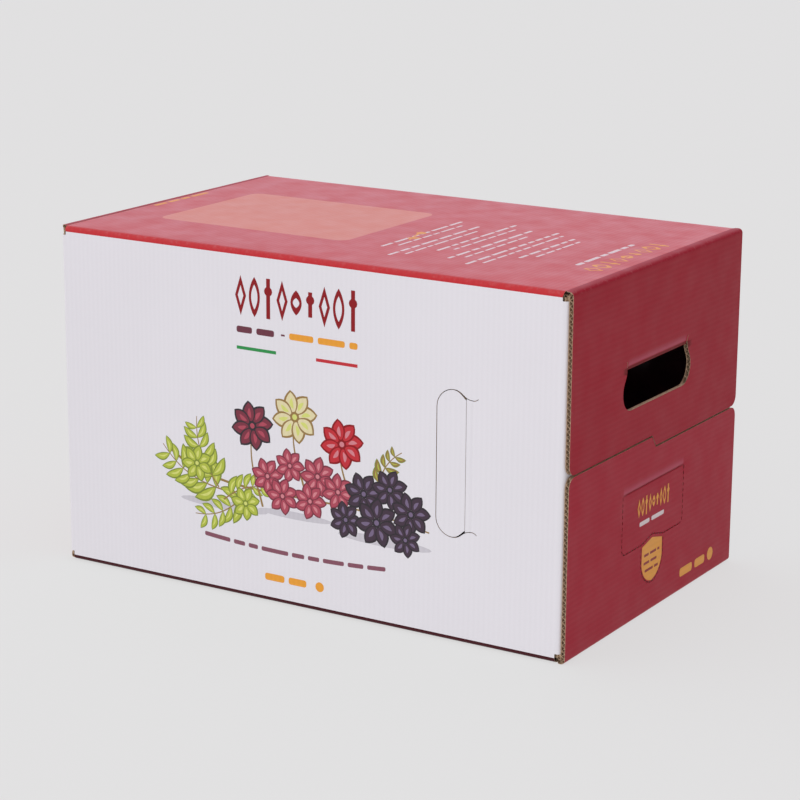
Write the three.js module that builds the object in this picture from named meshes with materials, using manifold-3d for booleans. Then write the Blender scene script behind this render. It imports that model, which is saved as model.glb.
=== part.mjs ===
// Bag in box carton for 20 litres of wine, in millimetres, +Z up.
// The origin is the middle of the base. +X is the tap end and -Y is the white front.
// The carton is one wrap-around blank of corrugated board, glued shut round a filled bag with its tap.
import * as THREE from "three";
import { mergeVertices } from "three/addons/utils/BufferGeometryUtils.js";
import Module from "manifold-3d";

const wasm = await Module();
wasm.setup();

// Carton
const LENGTH = 400;
const DEPTH = 250;
const HEIGHT = 240;
const BOARD = 3;
const FOLD_RADIUS = 3;
const LAYER_GAP = 0.3;
const MINOR_FLAP = 66;
const GLUE_LAP = 35;
const LAP_END_RELIEF = 8;
const FLAP_INSET = 0.5;
const SLOT_WIDTH = 4;
const SLOT_HEIGHT = 3;

// Seam where the two outer flaps of an end meet
const SEAM_FRONT_Z = 122.5;
const SEAM_BACK_Z = 114.5;
const SEAM_GAP = 1.2;
const SEAM_STEP_Y = -5;
const SEAM_STEP_RUN = 6;
const SEAM_CORNER = 7;

// Grips, each a flap cut on three sides and scored twice on the fourth
const CUT_GAP = 0.8;
const SCORE_PITCH = 4.6;
const SCORE_GAP = 0.3;
const HOOK_TAIL = 4;
const END_GRIP_Y = -3;
const END_GRIP_TOP = 177;
const END_GRIP_REACH = 29;
const END_GRIP_HALF = 49.5;
const END_STRIP_ANGLE = 53;
const END_FLAP_ANGLE = 95;
const SIDE_GRIP_X = 131;
const SIDE_GRIP_Z = 119;
const SIDE_GRIP_REACH = 26;
const SIDE_GRIP_HALF = 48.5;
const GRIP_HOOK = 5.5;
const GRIP_CORNER = 12;
const SHOULDER_EASE = 8;

// Tear-out panel in front of the tap, with its finger tab
const TEAR_Y = -3;
const TEAR_TOP = 91.5;
const TEAR_BOTTOM = 50.5;
const TEAR_HALF = 45.5;
const TEAR_CORNER = 5;
const TAB_HALF = 16.5;
const TAB_PEAK = 4;
const TAB_DROP = 30;
const PERF_PITCH = 4;
const PERF_CUT = 2.5;
const PERF_WIDTH = 0.7;
const SCORE_DEPTH = 0.5;
const SCORE_WIDTH = 0.8;

// Bag
const BAG_GAP = 0.3;
const BAG_SIDE_ROOM = 1;
const BAG_HEADSPACE = 5;
const BAG_SQUARENESS = 12;
const BAG_GRID_X = 22;
const BAG_GRID_Y = 14;
const BAG_GRID_Z = 14;
const SIDE_DENT = 30;
const END_DENT = 40;
const TAP_DENT = 44;

// Gland and tap
const TAP_Z = 60;
const FLANGE_RADIUS = 22;
const FLANGE_THICKNESS = 1.6;
const NECK_RADIUS = 14;
const NECK_WALL = 2;
const NECK_LENGTH = 12;
const RIDGE_HEIGHT = 2;
const TAP_CLEARANCE = 0.3;
const STUB_LENGTH = 9;
const TAP_BORE = 8;
const BARREL_RADIUS = 9.5;
const VALVE_AXIS_REACH = 13;
const VALVE_WALL = 2.5;
const KEY_RADIUS = 6.5;
const VALVE_HEIGHT = 15;
const OUTLET_DROP = 20;
const OUTLET_TAPER = 1.5;
const HANDLE_LENGTH = 27;
const HANDLE_WIDTH = 6;
const HANDLE_HEIGHT = 8;
const KEY_PORT = 4;

const ROUND = 40;
const degrees = THREE.MathUtils.degToRad;

// Planes and faces that several pieces share
const halfLength = LENGTH / 2;
const halfDepth = DEPTH / 2;
const endInside = halfLength - BOARD;
const minorOutside = endInside - LAYER_GAP;
const minorInside = minorOutside - BOARD;
const sideInside = halfDepth - BOARD;
const topInside = HEIGHT - BOARD;
const lapOutside = sideInside - LAYER_GAP;
const lapInside = lapOutside - BOARD;
const flapHalf = halfDepth - FLAP_INSET;

// Closed solid of a geometry, and the geometry of a solid
function solid(geometry) {
  const plain = geometry.index ? geometry.toNonIndexed() : geometry.clone();
  plain.deleteAttribute("normal");
  plain.deleteAttribute("uv");
  const merged = mergeVertices(plain, 1e-4);
  const corners = merged.index.array;
  const triangles = [];
  for (let i = 0; i < corners.length; i += 3) {
    const [a, b, c] = corners.slice(i, i + 3);
    if (a !== b && b !== c && c !== a) triangles.push(a, b, c);
  }
  const mesh = new wasm.Mesh({
    numProp: 3,
    vertProperties: merged.attributes.position.array,
    triVerts: new Uint32Array(triangles),
  });
  return new wasm.Manifold(mesh);
}

function geometryOf(body) {
  const mesh = body.getMesh();
  const geometry = new THREE.BufferGeometry();
  geometry.setAttribute("position", new THREE.BufferAttribute(mesh.vertProperties, 3));
  geometry.setIndex(new THREE.BufferAttribute(mesh.triVerts, 1));
  geometry.computeVertexNormals();
  return geometry;
}

const axisX = new THREE.Vector3(1, 0, 0);
const axisY = new THREE.Vector3(0, 1, 0);
const axisZ = new THREE.Vector3(0, 0, 1);

// A shape's two directions and the way it is extruded, for each direction of extrusion
const drawnFor = {
  x: new THREE.Matrix4().makeBasis(axisY, axisZ, axisX),
  y: new THREE.Matrix4().makeBasis(axisZ, axisX, axisY),
  z: new THREE.Matrix4().makeBasis(axisX, axisY, axisZ),
};

function extruded(shape, direction, from, to, curveSegments = 8) {
  const options = { depth: to - from, bevelEnabled: false, curveSegments };
  const geometry = new THREE.ExtrudeGeometry(shape, options);
  geometry.translate(0, 0, from);
  geometry.applyMatrix4(drawnFor[direction]);
  return solid(geometry);
}

function block(x0, x1, y0, y1, z0, z1) {
  const geometry = new THREE.BoxGeometry(x1 - x0, y1 - y0, z1 - z0);
  geometry.translate((x0 + x1) / 2, (y0 + y1) / 2, (z0 + z1) / 2);
  return solid(geometry);
}

function joined(bodies) {
  return bodies.reduce((sum, body) => sum.add(body));
}

function mirroredX(geometry) {
  return geometry.scale([-1, 1, 1]);
}

function mirroredY(geometry) {
  return geometry.scale([1, -1, 1]);
}

function roundedRectangle(x0, y0, x1, y1, r) {
  const shape = new THREE.Shape();
  shape.moveTo(x0 + r, y0);
  shape.lineTo(x1 - r, y0);
  shape.absarc(x1 - r, y0 + r, r, -Math.PI / 2, 0, false);
  shape.lineTo(x1, y1 - r);
  shape.absarc(x1 - r, y1 - r, r, 0, Math.PI / 2, false);
  shape.lineTo(x0 + r, y1);
  shape.absarc(x0 + r, y1 - r, r, Math.PI / 2, Math.PI, false);
  shape.lineTo(x0, y0 + r);
  shape.absarc(x0 + r, y0 + r, r, Math.PI, 1.5 * Math.PI, false);
  return shape;
}

// Girth of the carton as one strip of board in section: from the back panel's cut edge over the
// top, the front and the bottom to the glue lap, which stands inside the back panel.
function girth() {
  const r = FOLD_RADIUS;
  const lapFold = lapOutside - r;
  const strip = new THREE.Shape();
  strip.moveTo(sideInside, LAYER_GAP);
  strip.lineTo(halfDepth, LAYER_GAP);
  strip.lineTo(halfDepth, HEIGHT - r);
  strip.absarc(halfDepth - r, HEIGHT - r, r, 0, Math.PI / 2, false);
  strip.lineTo(-halfDepth + r, HEIGHT);
  strip.absarc(-halfDepth + r, HEIGHT - r, r, Math.PI / 2, Math.PI, false);
  strip.lineTo(-halfDepth, r);
  strip.absarc(-halfDepth + r, r, r, Math.PI, 1.5 * Math.PI, false);
  strip.lineTo(lapFold, 0);
  strip.absarc(lapFold, r, r, -Math.PI / 2, 0, false);
  strip.lineTo(lapOutside, GLUE_LAP);
  strip.lineTo(lapInside, GLUE_LAP);
  strip.lineTo(lapInside, BOARD);
  strip.lineTo(-sideInside, BOARD);
  strip.lineTo(-sideInside, topInside);
  strip.lineTo(sideInside, topInside);
  strip.closePath();
  const whole = extruded(strip, "x", -minorInside, minorInside);
  const lapEnd = minorInside - LAP_END_RELIEF;
  const trim = block(lapEnd, minorInside + 1, lapInside - 1, lapOutside + LAYER_GAP / 2, BOARD, GLUE_LAP + 1);
  return whole.subtract(trim).subtract(mirroredX(trim));
}

// Front and back panels with their four minor flaps, folded inwards behind the outer flaps
function minorFlaps() {
  const plan = roundedRectangle(-minorOutside, -halfDepth, minorOutside, halfDepth, FOLD_RADIUS);
  const band = extruded(plan, "z", BOARD + LAYER_GAP, topInside - LAYER_GAP);
  const inside = block(-minorInside, minorInside, -sideInside, sideInside, 0, HEIGHT);
  const edge = halfDepth - MINOR_FLAP;
  const between = block(-halfLength, halfLength, -edge, edge, 0, HEIGHT);
  return band.subtract(inside).subtract(between);
}

// Cut edge of an outer flap along the seam, from the front to the back, rounded at both ends
function flapOutline(side) {
  const edge = (z) => z + (side * SEAM_GAP) / 2;
  const front = edge(SEAM_FRONT_Z);
  const back = edge(SEAM_BACK_Z);
  const r = SEAM_CORNER;
  const root = side > 0 ? HEIGHT - FOLD_RADIUS : FOLD_RADIUS;
  const shape = new THREE.Shape();
  shape.moveTo(-flapHalf, root);
  shape.lineTo(-flapHalf, front + side * r);
  shape.absarc(-flapHalf + r, front + side * r, r, Math.PI, side * 1.5 * Math.PI, side < 0);
  shape.lineTo(SEAM_STEP_Y - SEAM_STEP_RUN / 2, front);
  shape.lineTo(SEAM_STEP_Y + SEAM_STEP_RUN / 2, back);
  shape.lineTo(flapHalf - r, back);
  shape.absarc(flapHalf - r, back + side * r, r, (-side * Math.PI) / 2, 0, side < 0);
  shape.lineTo(flapHalf, root);
  shape.closePath();
  return shape;
}

// Folds of the top and bottom panels at the +X end, with the two outer flaps
function outerFlaps() {
  const r = FOLD_RADIUS;
  const corner = new THREE.Shape();
  corner.moveTo(topInside, minorInside);
  corner.lineTo(HEIGHT, minorInside);
  corner.lineTo(HEIGHT, halfLength - r);
  corner.absarc(HEIGHT - r, halfLength - r, r, 0, Math.PI / 2, false);
  corner.lineTo(HEIGHT - r - BOARD, halfLength);
  corner.lineTo(HEIGHT - r - BOARD, endInside);
  corner.lineTo(topInside, endInside);
  corner.closePath();
  const topFold = extruded(corner, "y", -flapHalf, flapHalf);
  const bottomFold = topFold.scale([1, 1, -1]).translate([0, 0, HEIGHT]);
  const upper = extruded(flapOutline(1), "x", endInside, halfLength);
  const lower = extruded(flapOutline(-1), "x", endInside, halfLength);
  return joined([topFold, bottomFold, upper, lower]);
}

// Slots between an outer flap and its neighbours, at the four corners of the +X end
function cornerSlots() {
  const slot = (z) => {
    const section = roundedRectangle(z, minorOutside - SLOT_WIDTH, z + SLOT_HEIGHT, minorOutside + LAYER_GAP, 1);
    return extruded(section, "y", sideInside - 1, halfDepth + 1, 4);
  };
  const back = slot(topInside - SLOT_HEIGHT).add(slot(BOARD));
  return back.add(mirroredY(back));
}

// Outline of a grip flap: u is the distance from the first score, v runs along the score.
// grow widens it all round for the cut in the panel.
function gripOutline(reach, half, grow) {
  const cornerU = GRIP_CORNER + grow;
  const crestU = reach + grow - cornerU;
  const crestV = half + grow;
  const hookV = half - GRIP_HOOK + grow;
  const edgeV = crestV - cornerU;
  const turn = crestU / 2;
  const shape = new THREE.Shape();
  shape.moveTo(0, -hookV);
  shape.bezierCurveTo(turn, -hookV, turn, -crestV, crestU, -crestV);
  shape.absarc(crestU, -edgeV, cornerU, -Math.PI / 2, 0, false);
  shape.lineTo(reach + grow, edgeV);
  shape.absarc(crestU, edgeV, cornerU, 0, Math.PI / 2, false);
  shape.bezierCurveTo(turn, crestV, turn, hookV, 0, hookV);
  shape.closePath();
  return shape;
}

// A grip is drawn flat with the first score on the Y axis: u along +X towards the free edge, v along
// +Y, the printed face at z = 0 and the inside of the board at z = BOARD.
function gripCut(reach, half) {
  const opening = extruded(gripOutline(reach, half, CUT_GAP), "z", -BOARD, 2 * BOARD, 6);
  const hook = half - GRIP_HOOK;
  const tail = block(-HOOK_TAIL, 1, hook, hook + CUT_GAP, -BOARD, 2 * BOARD);
  return joined([opening, tail, mirroredY(tail)]);
}

// Prism along v whose section is drawn as points of depth into the board and u
function sectionAlongV(points) {
  const section = new THREE.Shape(points.map(([depth, u]) => new THREE.Vector2(depth, u)));
  return extruded(section, "y", -LENGTH, LENGTH);
}

// The strip between the two scores, which stays on the panel. Both it and the flap are mitred at
// the second score, where the board is crushed to its printed face.
function gripStrip(reach, half) {
  const whole = extruded(gripOutline(reach, half, 0), "z", 0, BOARD, 6);
  const kept = sectionAlongV([
    [0, -BOARD],
    [BOARD, -BOARD],
    [BOARD, SCORE_PITCH - BOARD],
    [0, SCORE_PITCH],
  ]);
  return whole.intersect(kept);
}

// The flap beyond the second score, which is its hinge line. Its shoulders are eased so that they
// pass the hooks of the cut as it swings.
function gripFlap(reach, half) {
  const whole = extruded(gripOutline(reach, half, 0), "z", 0, BOARD, 6);
  const near = SCORE_PITCH + SCORE_GAP;
  const kept = sectionAlongV([
    [0, near],
    [BOARD, near + BOARD],
    [BOARD, 2 * reach],
    [0, 2 * reach],
  ]);
  const neck = half - GRIP_HOOK + CUT_GAP / 2;
  const eased = new THREE.Shape();
  eased.moveTo(0, -neck);
  eased.lineTo(near + BOARD, -neck);
  eased.lineTo(near + BOARD + SHOULDER_EASE, -half);
  eased.lineTo(2 * reach, -half);
  eased.lineTo(2 * reach, half);
  eased.lineTo(near + BOARD + SHOULDER_EASE, half);
  eased.lineTo(near + BOARD, neck);
  eased.lineTo(0, neck);
  eased.closePath();
  return whole.intersect(kept).intersect(extruded(eased, "z", 0, BOARD));
}

// Moves a flat grip body to its place: the origin of the flat drawing, then the ways u and v run
function placed(body, origin, u, v) {
  const matrix = new THREE.Matrix4().makeBasis(u, v, u.clone().cross(v));
  matrix.setPosition(origin);
  return body.transform(matrix.elements);
}

// Place of the front grip, and of the +X end grip with its board turned in by an angle
const frontGripOrigin = new THREE.Vector3(SIDE_GRIP_X, -halfDepth, SIDE_GRIP_Z);
const towardsFarEnd = new THREE.Vector3(-1, 0, 0);
const endGripOrigin = new THREE.Vector3(halfLength, END_GRIP_Y, END_GRIP_TOP);
const alongEndScore = new THREE.Vector3(0, -1, 0);

function turnedIn(angle) {
  const a = degrees(angle);
  return new THREE.Vector3(-Math.sin(a), 0, -Math.cos(a));
}

const endHinge = endGripOrigin.clone().addScaledVector(turnedIn(END_STRIP_ANGLE), SCORE_PITCH);

function frontGripFlap() {
  return placed(gripFlap(SIDE_GRIP_REACH, SIDE_GRIP_HALF), frontGripOrigin, towardsFarEnd, axisZ);
}

function endGripFlap() {
  const aboutHinge = gripFlap(END_GRIP_REACH, END_GRIP_HALF).translate([-SCORE_PITCH, 0, 0]);
  return placed(aboutHinge, endHinge, turnedIn(END_FLAP_ANGLE), alongEndScore);
}

function withGrips(carton) {
  const sideCut = placed(gripCut(SIDE_GRIP_REACH, SIDE_GRIP_HALF), frontGripOrigin, towardsFarEnd, axisZ);
  const sideStrip = placed(gripStrip(SIDE_GRIP_REACH, SIDE_GRIP_HALF), frontGripOrigin, towardsFarEnd, axisZ);
  const endCut = placed(gripCut(END_GRIP_REACH, END_GRIP_HALF), endGripOrigin, turnedIn(0), alongEndScore);
  const flatStrip = gripStrip(END_GRIP_REACH, END_GRIP_HALF);
  const endStrip = placed(flatStrip, endGripOrigin, turnedIn(END_STRIP_ANGLE), alongEndScore);
  return carton
    .subtract(joined([sideCut, mirroredY(sideCut), endCut, mirroredX(endCut)]))
    .add(joined([sideStrip, mirroredY(sideStrip), endStrip, mirroredX(endStrip)]));
}

// Points of the perforated line round the tear-out panel, in y and z, and round the finger tab
function perforatedLines() {
  const panel = new THREE.Path();
  const left = TEAR_Y - TEAR_HALF;
  const right = TEAR_Y + TEAR_HALF;
  const c = TEAR_CORNER;
  panel.moveTo(left, TEAR_TOP);
  panel.lineTo(left, TEAR_BOTTOM + c);
  panel.absarc(left + c, TEAR_BOTTOM + c, c, Math.PI, 1.5 * Math.PI, false);
  panel.lineTo(TEAR_Y - TAB_HALF, TEAR_BOTTOM);
  panel.lineTo(TEAR_Y, TEAR_BOTTOM + TAB_PEAK);
  panel.lineTo(TEAR_Y + TAB_HALF, TEAR_BOTTOM);
  panel.lineTo(right - c, TEAR_BOTTOM);
  panel.absarc(right - c, TEAR_BOTTOM + c, c, 1.5 * Math.PI, 2 * Math.PI, false);
  panel.lineTo(right, TEAR_TOP);
  const tab = new THREE.Path();
  const tip = TEAR_BOTTOM - TAB_DROP;
  const shoulder = TEAR_BOTTOM - TAB_DROP / 2;
  tab.moveTo(TEAR_Y - TAB_HALF, TEAR_BOTTOM - PERF_PITCH / 2);
  tab.lineTo(TEAR_Y - TAB_HALF, shoulder);
  tab.quadraticCurveTo(TEAR_Y - TAB_HALF * 0.8, tip + 2, TEAR_Y, tip);
  tab.quadraticCurveTo(TEAR_Y + TAB_HALF * 0.8, tip + 2, TEAR_Y + TAB_HALF, shoulder);
  tab.lineTo(TEAR_Y + TAB_HALF, TEAR_BOTTOM - PERF_PITCH / 2);
  return [panel, tab];
}

function perforations() {
  const cuts = [];
  for (const line of perforatedLines()) {
    const count = Math.max(1, Math.round(line.getLength() / PERF_PITCH));
    for (let i = 0; i < count; i += 1) {
      const at = (i + 0.5) / count;
      const middle = line.getPointAt(at);
      const way = line.getTangentAt(at);
      const slit = new THREE.BoxGeometry(3 * BOARD, PERF_CUT, PERF_WIDTH);
      slit.rotateX(Math.atan2(way.y, way.x));
      slit.translate(halfLength, middle.x, middle.y);
      cuts.push(solid(slit));
    }
  }
  return joined(cuts);
}

// Scores pressed into the printed face: over the tear-out panel, and the first one of each side grip
function scores() {
  const w = SCORE_WIDTH / 2;
  const face = halfLength - SCORE_DEPTH;
  const tear = block(face, halfLength + 1, TEAR_Y - TEAR_HALF, TEAR_Y + TEAR_HALF, TEAR_TOP - w, TEAR_TOP + w);
  const span = SIDE_GRIP_HALF - GRIP_HOOK;
  const x = SIDE_GRIP_X;
  const side = halfDepth - SCORE_DEPTH;
  const grip = block(x - w, x + w, side, halfDepth + 1, SIDE_GRIP_Z - span, SIDE_GRIP_Z + span);
  return joined([tear, grip, mirroredY(grip)]);
}

function carton() {
  const slots = cornerSlots();
  const flaps = outerFlaps();
  const folded = joined([girth(), minorFlaps(), flaps, mirroredX(flaps)]);
  const slotted = folded.subtract(slots).subtract(mirroredX(slots));
  return withGrips(slotted).subtract(perforations()).subtract(scores());
}

// Bag: a film pillow that fills the carton below its headspace and gives way behind the grips and
// the tap, by a depth at the middle of each dent that fades within its two half widths.
function dent(depth, du, halfU, dv, halfV) {
  const rim = Math.exp(-((du / halfU) ** 4) - (dv / halfV) ** 4);
  return depth * Math.min(1, 1.15 * rim);
}

const bagEnd = minorInside - BAG_SIDE_ROOM;
const bagSide = lapInside - BAG_SIDE_ROOM;
const bagBottom = BOARD + BAG_GAP;
const bagTop = topInside - BAG_HEADSPACE;
const bagSeat = bagEnd - TAP_DENT;

function endDents(x, y, z) {
  const grip = dent(END_DENT, y - END_GRIP_Y, END_GRIP_HALF * 1.5, z - END_GRIP_TOP, END_GRIP_REACH * 1.6);
  const tap = x > 0 ? dent(TAP_DENT, y - TEAR_Y, TEAR_HALF, z - TAP_Z, TEAR_HALF) : 0;
  return (grip ** 4 + tap ** 4) ** 0.25;
}

function sideDent(x, z) {
  const middle = SIDE_GRIP_X - SIDE_GRIP_REACH / 2;
  return dent(SIDE_DENT, x - middle, SIDE_GRIP_REACH * 1.3, z - SIDE_GRIP_Z, SIDE_GRIP_HALF * 1.3);
}

function bag() {
  const height = bagTop - bagBottom;
  const geometry = new THREE.BoxGeometry(2, 2, 2, BAG_GRID_X, BAG_GRID_Y, BAG_GRID_Z);
  const corners = geometry.attributes.position;
  for (let i = 0; i < corners.count; i += 1) {
    const p = new THREE.Vector3().fromBufferAttribute(corners, i);
    const powers = p.toArray().map((value) => Math.abs(value) ** BAG_SQUARENESS);
    p.multiplyScalar((powers[0] + powers[1] + powers[2]) ** (-1 / BAG_SQUARENESS));
    const z = bagBottom + ((p.z + 1) * height) / 2;
    let x = p.x * bagEnd;
    let y = p.y * bagSide;
    const endLimit = bagEnd - endDents(x, y, z);
    const sideLimit = bagSide - sideDent(x, z);
    x = THREE.MathUtils.clamp(x, -endLimit, endLimit);
    y = THREE.MathUtils.clamp(y, -sideLimit, sideLimit);
    corners.setXYZ(i, x, y, z);
  }
  const seat = block(bagSeat, halfLength, -FLANGE_RADIUS, FLANGE_RADIUS, -FLANGE_RADIUS, FLANGE_RADIUS);
  return solid(geometry).subtract(seat.translate([0, TEAR_Y, TAP_Z]));
}

// Body of revolution from a closed profile of radius and height, about the local Z axis
function revolved(profile) {
  const points = profile.map(([r, h]) => new THREE.Vector2(r, h));
  const geometry = new THREE.LatheGeometry([...points, points[0]], ROUND);
  geometry.rotateX(Math.PI / 2);
  return solid(geometry);
}

function alongX(body) {
  return body.rotate([0, 90, 0]);
}

// The gland and the tap are drawn from the gland's seat on the bag: +X is the way the tap points
const neckStart = BAG_GAP + FLANGE_THICKNESS;
const neckEnd = BAG_GAP + NECK_LENGTH;
const stubEnd = neckEnd + TAP_CLEARANCE;
const valveX = stubEnd + VALVE_AXIS_REACH;
const chamberRadius = KEY_RADIUS + TAP_CLEARANCE;
const chamberFloor = -KEY_RADIUS - TAP_CLEARANCE;
const housingRadius = chamberRadius + VALVE_WALL;

function gland() {
  const bore = NECK_RADIUS - NECK_WALL;
  const ridge = NECK_RADIUS + RIDGE_HEIGHT;
  const groove = neckEnd - 2 * RIDGE_HEIGHT;
  return alongX(
    revolved([
      [bore, BAG_GAP],
      [FLANGE_RADIUS, BAG_GAP],
      [FLANGE_RADIUS, neckStart],
      [NECK_RADIUS, neckStart],
      [NECK_RADIUS, groove - RIDGE_HEIGHT],
      [ridge, groove - RIDGE_HEIGHT],
      [ridge, groove],
      [NECK_RADIUS, groove],
      [NECK_RADIUS, neckEnd - RIDGE_HEIGHT / 2],
      [NECK_RADIUS - RIDGE_HEIGHT / 2, neckEnd],
      [bore, neckEnd],
    ]),
  );
}

function tapBody() {
  const stub = NECK_RADIUS - NECK_WALL - TAP_CLEARANCE;
  const shoulder = NECK_RADIUS + RIDGE_HEIGHT;
  const outer = alongX(
    revolved([
      [0, neckEnd - STUB_LENGTH],
      [stub, neckEnd - STUB_LENGTH],
      [stub, stubEnd],
      [shoulder, stubEnd],
      [shoulder, stubEnd + RIDGE_HEIGHT],
      [BARREL_RADIUS, stubEnd + RIDGE_HEIGHT],
      [BARREL_RADIUS, valveX],
      [0, valveX],
    ]),
  );
  const outletTop = housingRadius - OUTLET_TAPER;
  const housing = revolved([
    [0, -OUTLET_DROP],
    [outletTop - OUTLET_TAPER, -OUTLET_DROP],
    [outletTop, chamberFloor - VALVE_WALL],
    [housingRadius, chamberFloor - VALVE_WALL / 2],
    [housingRadius, VALVE_HEIGHT],
    [0, VALVE_HEIGHT],
  ]);
  const chamber = revolved([
    [0, chamberFloor],
    [chamberRadius, chamberFloor],
    [chamberRadius, VALVE_HEIGHT + 1],
    [0, VALVE_HEIGHT + 1],
  ]);
  const spout = revolved([
    [0, -OUTLET_DROP - 1],
    [TAP_BORE / 2 + 1, -OUTLET_DROP - 1],
    [TAP_BORE / 2, chamberFloor + 1],
    [0, chamberFloor + 1],
  ]);
  const supply = alongX(
    revolved([
      [0, 0],
      [TAP_BORE / 2, 0],
      [TAP_BORE / 2, valveX],
      [0, valveX],
    ]),
  );
  const valve = joined([housing]).translate([valveX, 0, 0]);
  const hollow = joined([chamber, spout]).translate([valveX, 0, 0]);
  return outer.add(valve).subtract(hollow).subtract(supply);
}

// Key drawn about its own axis: a plug with an angled port, a cap over the housing and a thumb bar.
// The port faces the back while the tap is shut.
function tapKey() {
  const cap = VALVE_HEIGHT + TAP_CLEARANCE;
  const plug = revolved([
    [0, chamberFloor + TAP_CLEARANCE],
    [KEY_RADIUS, chamberFloor + TAP_CLEARANCE],
    [KEY_RADIUS, cap],
    [housingRadius, cap],
    [housingRadius - 1, cap + VALVE_WALL],
    [0, cap + VALVE_WALL],
  ]);
  const bar = roundedRectangle(
    -HANDLE_WIDTH / 2,
    -HANDLE_LENGTH / 2,
    HANDLE_WIDTH / 2,
    HANDLE_LENGTH / 2,
    HANDLE_WIDTH / 2 - 0.1,
  );
  const handle = extruded(bar, "z", cap + VALVE_WALL / 2, cap + VALVE_WALL + HANDLE_HEIGHT);
  const port = revolved([
    [0, 0],
    [KEY_PORT / 2 + 1, 0],
    [KEY_PORT / 2 + 1, 2 * KEY_RADIUS],
    [0, 2 * KEY_RADIUS],
  ]);
  const side = port.rotate([-90, 0, 0]);
  const down = port.rotate([180, 0, 0]);
  return plug.add(handle).subtract(side).subtract(down);
}

function finish(color, roughness) {
  return new THREE.MeshStandardMaterial({ color, roughness, metalness: 0 });
}

function piece(name, body, material) {
  const mesh = new THREE.Mesh(geometryOf(body), material);
  mesh.name = name;
  return mesh;
}

const part = new THREE.Group();
const sideFlap = frontGripFlap();
const endFlap = endGripFlap();
part.add(piece("carton", carton(), finish(0x9c2733, 0.45)));
part.add(piece("front_grip_flap", sideFlap, finish(0xdedbe2, 0.5)));
part.add(piece("back_grip_flap", mirroredY(sideFlap), finish(0xdedbe2, 0.5)));
part.add(piece("tap_end_grip_flap", endFlap, finish(0x9c2733, 0.45)));
part.add(piece("far_end_grip_flap", mirroredX(endFlap), finish(0x9c2733, 0.45)));
part.add(piece("filled_bag", bag(), finish(0x2a0710, 0.2)));

const tap = new THREE.Group();
tap.position.set(bagSeat, TEAR_Y, TAP_Z);
tap.add(piece("bag_gland", gland(), finish(0xe9e7e0, 0.4)));
tap.add(piece("tap_body", tapBody(), finish(0x1d1d1f, 0.4)));
const key = piece("tap_key", tapKey(), finish(0xa81f2b, 0.35));
key.position.set(valveX, 0, 0);
tap.add(key);
part.add(tap);

export default part;
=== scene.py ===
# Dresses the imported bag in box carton: folded printed board, grips, film bag, tap, floor, light and camera.
# The board is drawn on the flat blank in millimetres and folded by formula, so print, flutes and
# creases run over the folds as on the real carton.
import math
import random

import bpy
import numpy as np
from mathutils import Matrix, Vector
from mathutils.geometry import delaunay_2d_cdt


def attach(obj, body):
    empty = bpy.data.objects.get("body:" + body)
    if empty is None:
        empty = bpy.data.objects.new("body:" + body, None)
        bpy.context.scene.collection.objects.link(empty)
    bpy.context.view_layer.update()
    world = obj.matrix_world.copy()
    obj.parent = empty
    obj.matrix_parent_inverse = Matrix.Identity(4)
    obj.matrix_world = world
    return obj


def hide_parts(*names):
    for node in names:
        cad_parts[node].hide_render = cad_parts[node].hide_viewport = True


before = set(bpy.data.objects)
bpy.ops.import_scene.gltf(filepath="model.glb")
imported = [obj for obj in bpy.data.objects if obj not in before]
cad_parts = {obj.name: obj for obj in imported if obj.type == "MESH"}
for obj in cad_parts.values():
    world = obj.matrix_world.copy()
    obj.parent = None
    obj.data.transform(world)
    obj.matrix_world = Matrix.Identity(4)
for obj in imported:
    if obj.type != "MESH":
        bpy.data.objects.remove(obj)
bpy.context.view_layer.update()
MM = 0.001

# Sizes of the carton in millimetres, as in the CAD model
HALF_X, HALF_Y, TOP = 200.0, 125.0, 240.0
BOARD, FOLD = 3.0, 3.0
ARC = FOLD * math.pi / 2
FOLD_X, FOLD_Y, FOLD_Z = HALF_X - FOLD, HALF_Y - FOLD, TOP - FOLD
LINER = 0.3
# The papers stay this far inside the faces of the CAD model
SKIN = 0.04
FLUTE = 3.75
MINOR_X, ROOT, FLAP_HALF = 193.7, 3.3, 124.5
SEAM_FRONT, SEAM_BACK, SEAM_GAP = 122.5, 114.5, 1.2
STEP_Y, STEP_RUN, SEAM_R = -5.0, 6.0, 7.0
GRIP_Y, GRIP_TOP, END_REACH, END_HALF = -3.0, 177.0, 29.0, 49.5
SIDE_X, SIDE_Z, SIDE_REACH, SIDE_HALF = 131.0, 119.0, 26.0, 48.5
HOOK, CORNER, PITCH, TAIL = 5.5, 12.0, 4.6, 4.0
SUNK = 0.9
STRIP_ANGLE, FLAP_ANGLE = math.radians(53), math.radians(95)
CUT = 0.5
HINGE_X = HALF_X - PITCH * math.sin(STRIP_ANGLE)
HINGE_Z = GRIP_TOP - PITCH * math.cos(STRIP_ANGLE)
TEAR_Y, TEAR_TOP, TEAR_BOTTOM, TEAR_HALF = -3.0, 91.5, 50.5, 45.5

# Heights of the two faces of each paper, and of the ink, out from the printed face of the board
OUTER, INNER = (-SKIN, -LINER), (-BOARD + LINER, -BOARD)
INK_LIFT = 0.03 - SKIN

# Positions along the girth of the blank: 0 is the middle of the top, the front is positive
WALL, BACK_WALL, UNDERSIDE, LAP, LAP_Y = 234.0, 236.7, 240.7, 32.0, 118.7
S_FRONT = FOLD_Y + ARC
S_BOTTOM = S_FRONT + WALL + ARC
S_LAP = S_BOTTOM + UNDERSIDE + ARC
S_END = S_LAP + LAP
S_BACK = -S_FRONT - BACK_WALL
FLAP_D = ROOT + ARC + FOLD_Z

ENDS = ((1, "tap_end"), (-1, "far_end"))


def srgb(r, g, b):
    def linear(c):
        c /= 255
        return c / 12.92 if c <= 0.04045 else ((c + 0.055) / 1.055) ** 2.4

    return (linear(r), linear(g), linear(b), 1.0)


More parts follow.
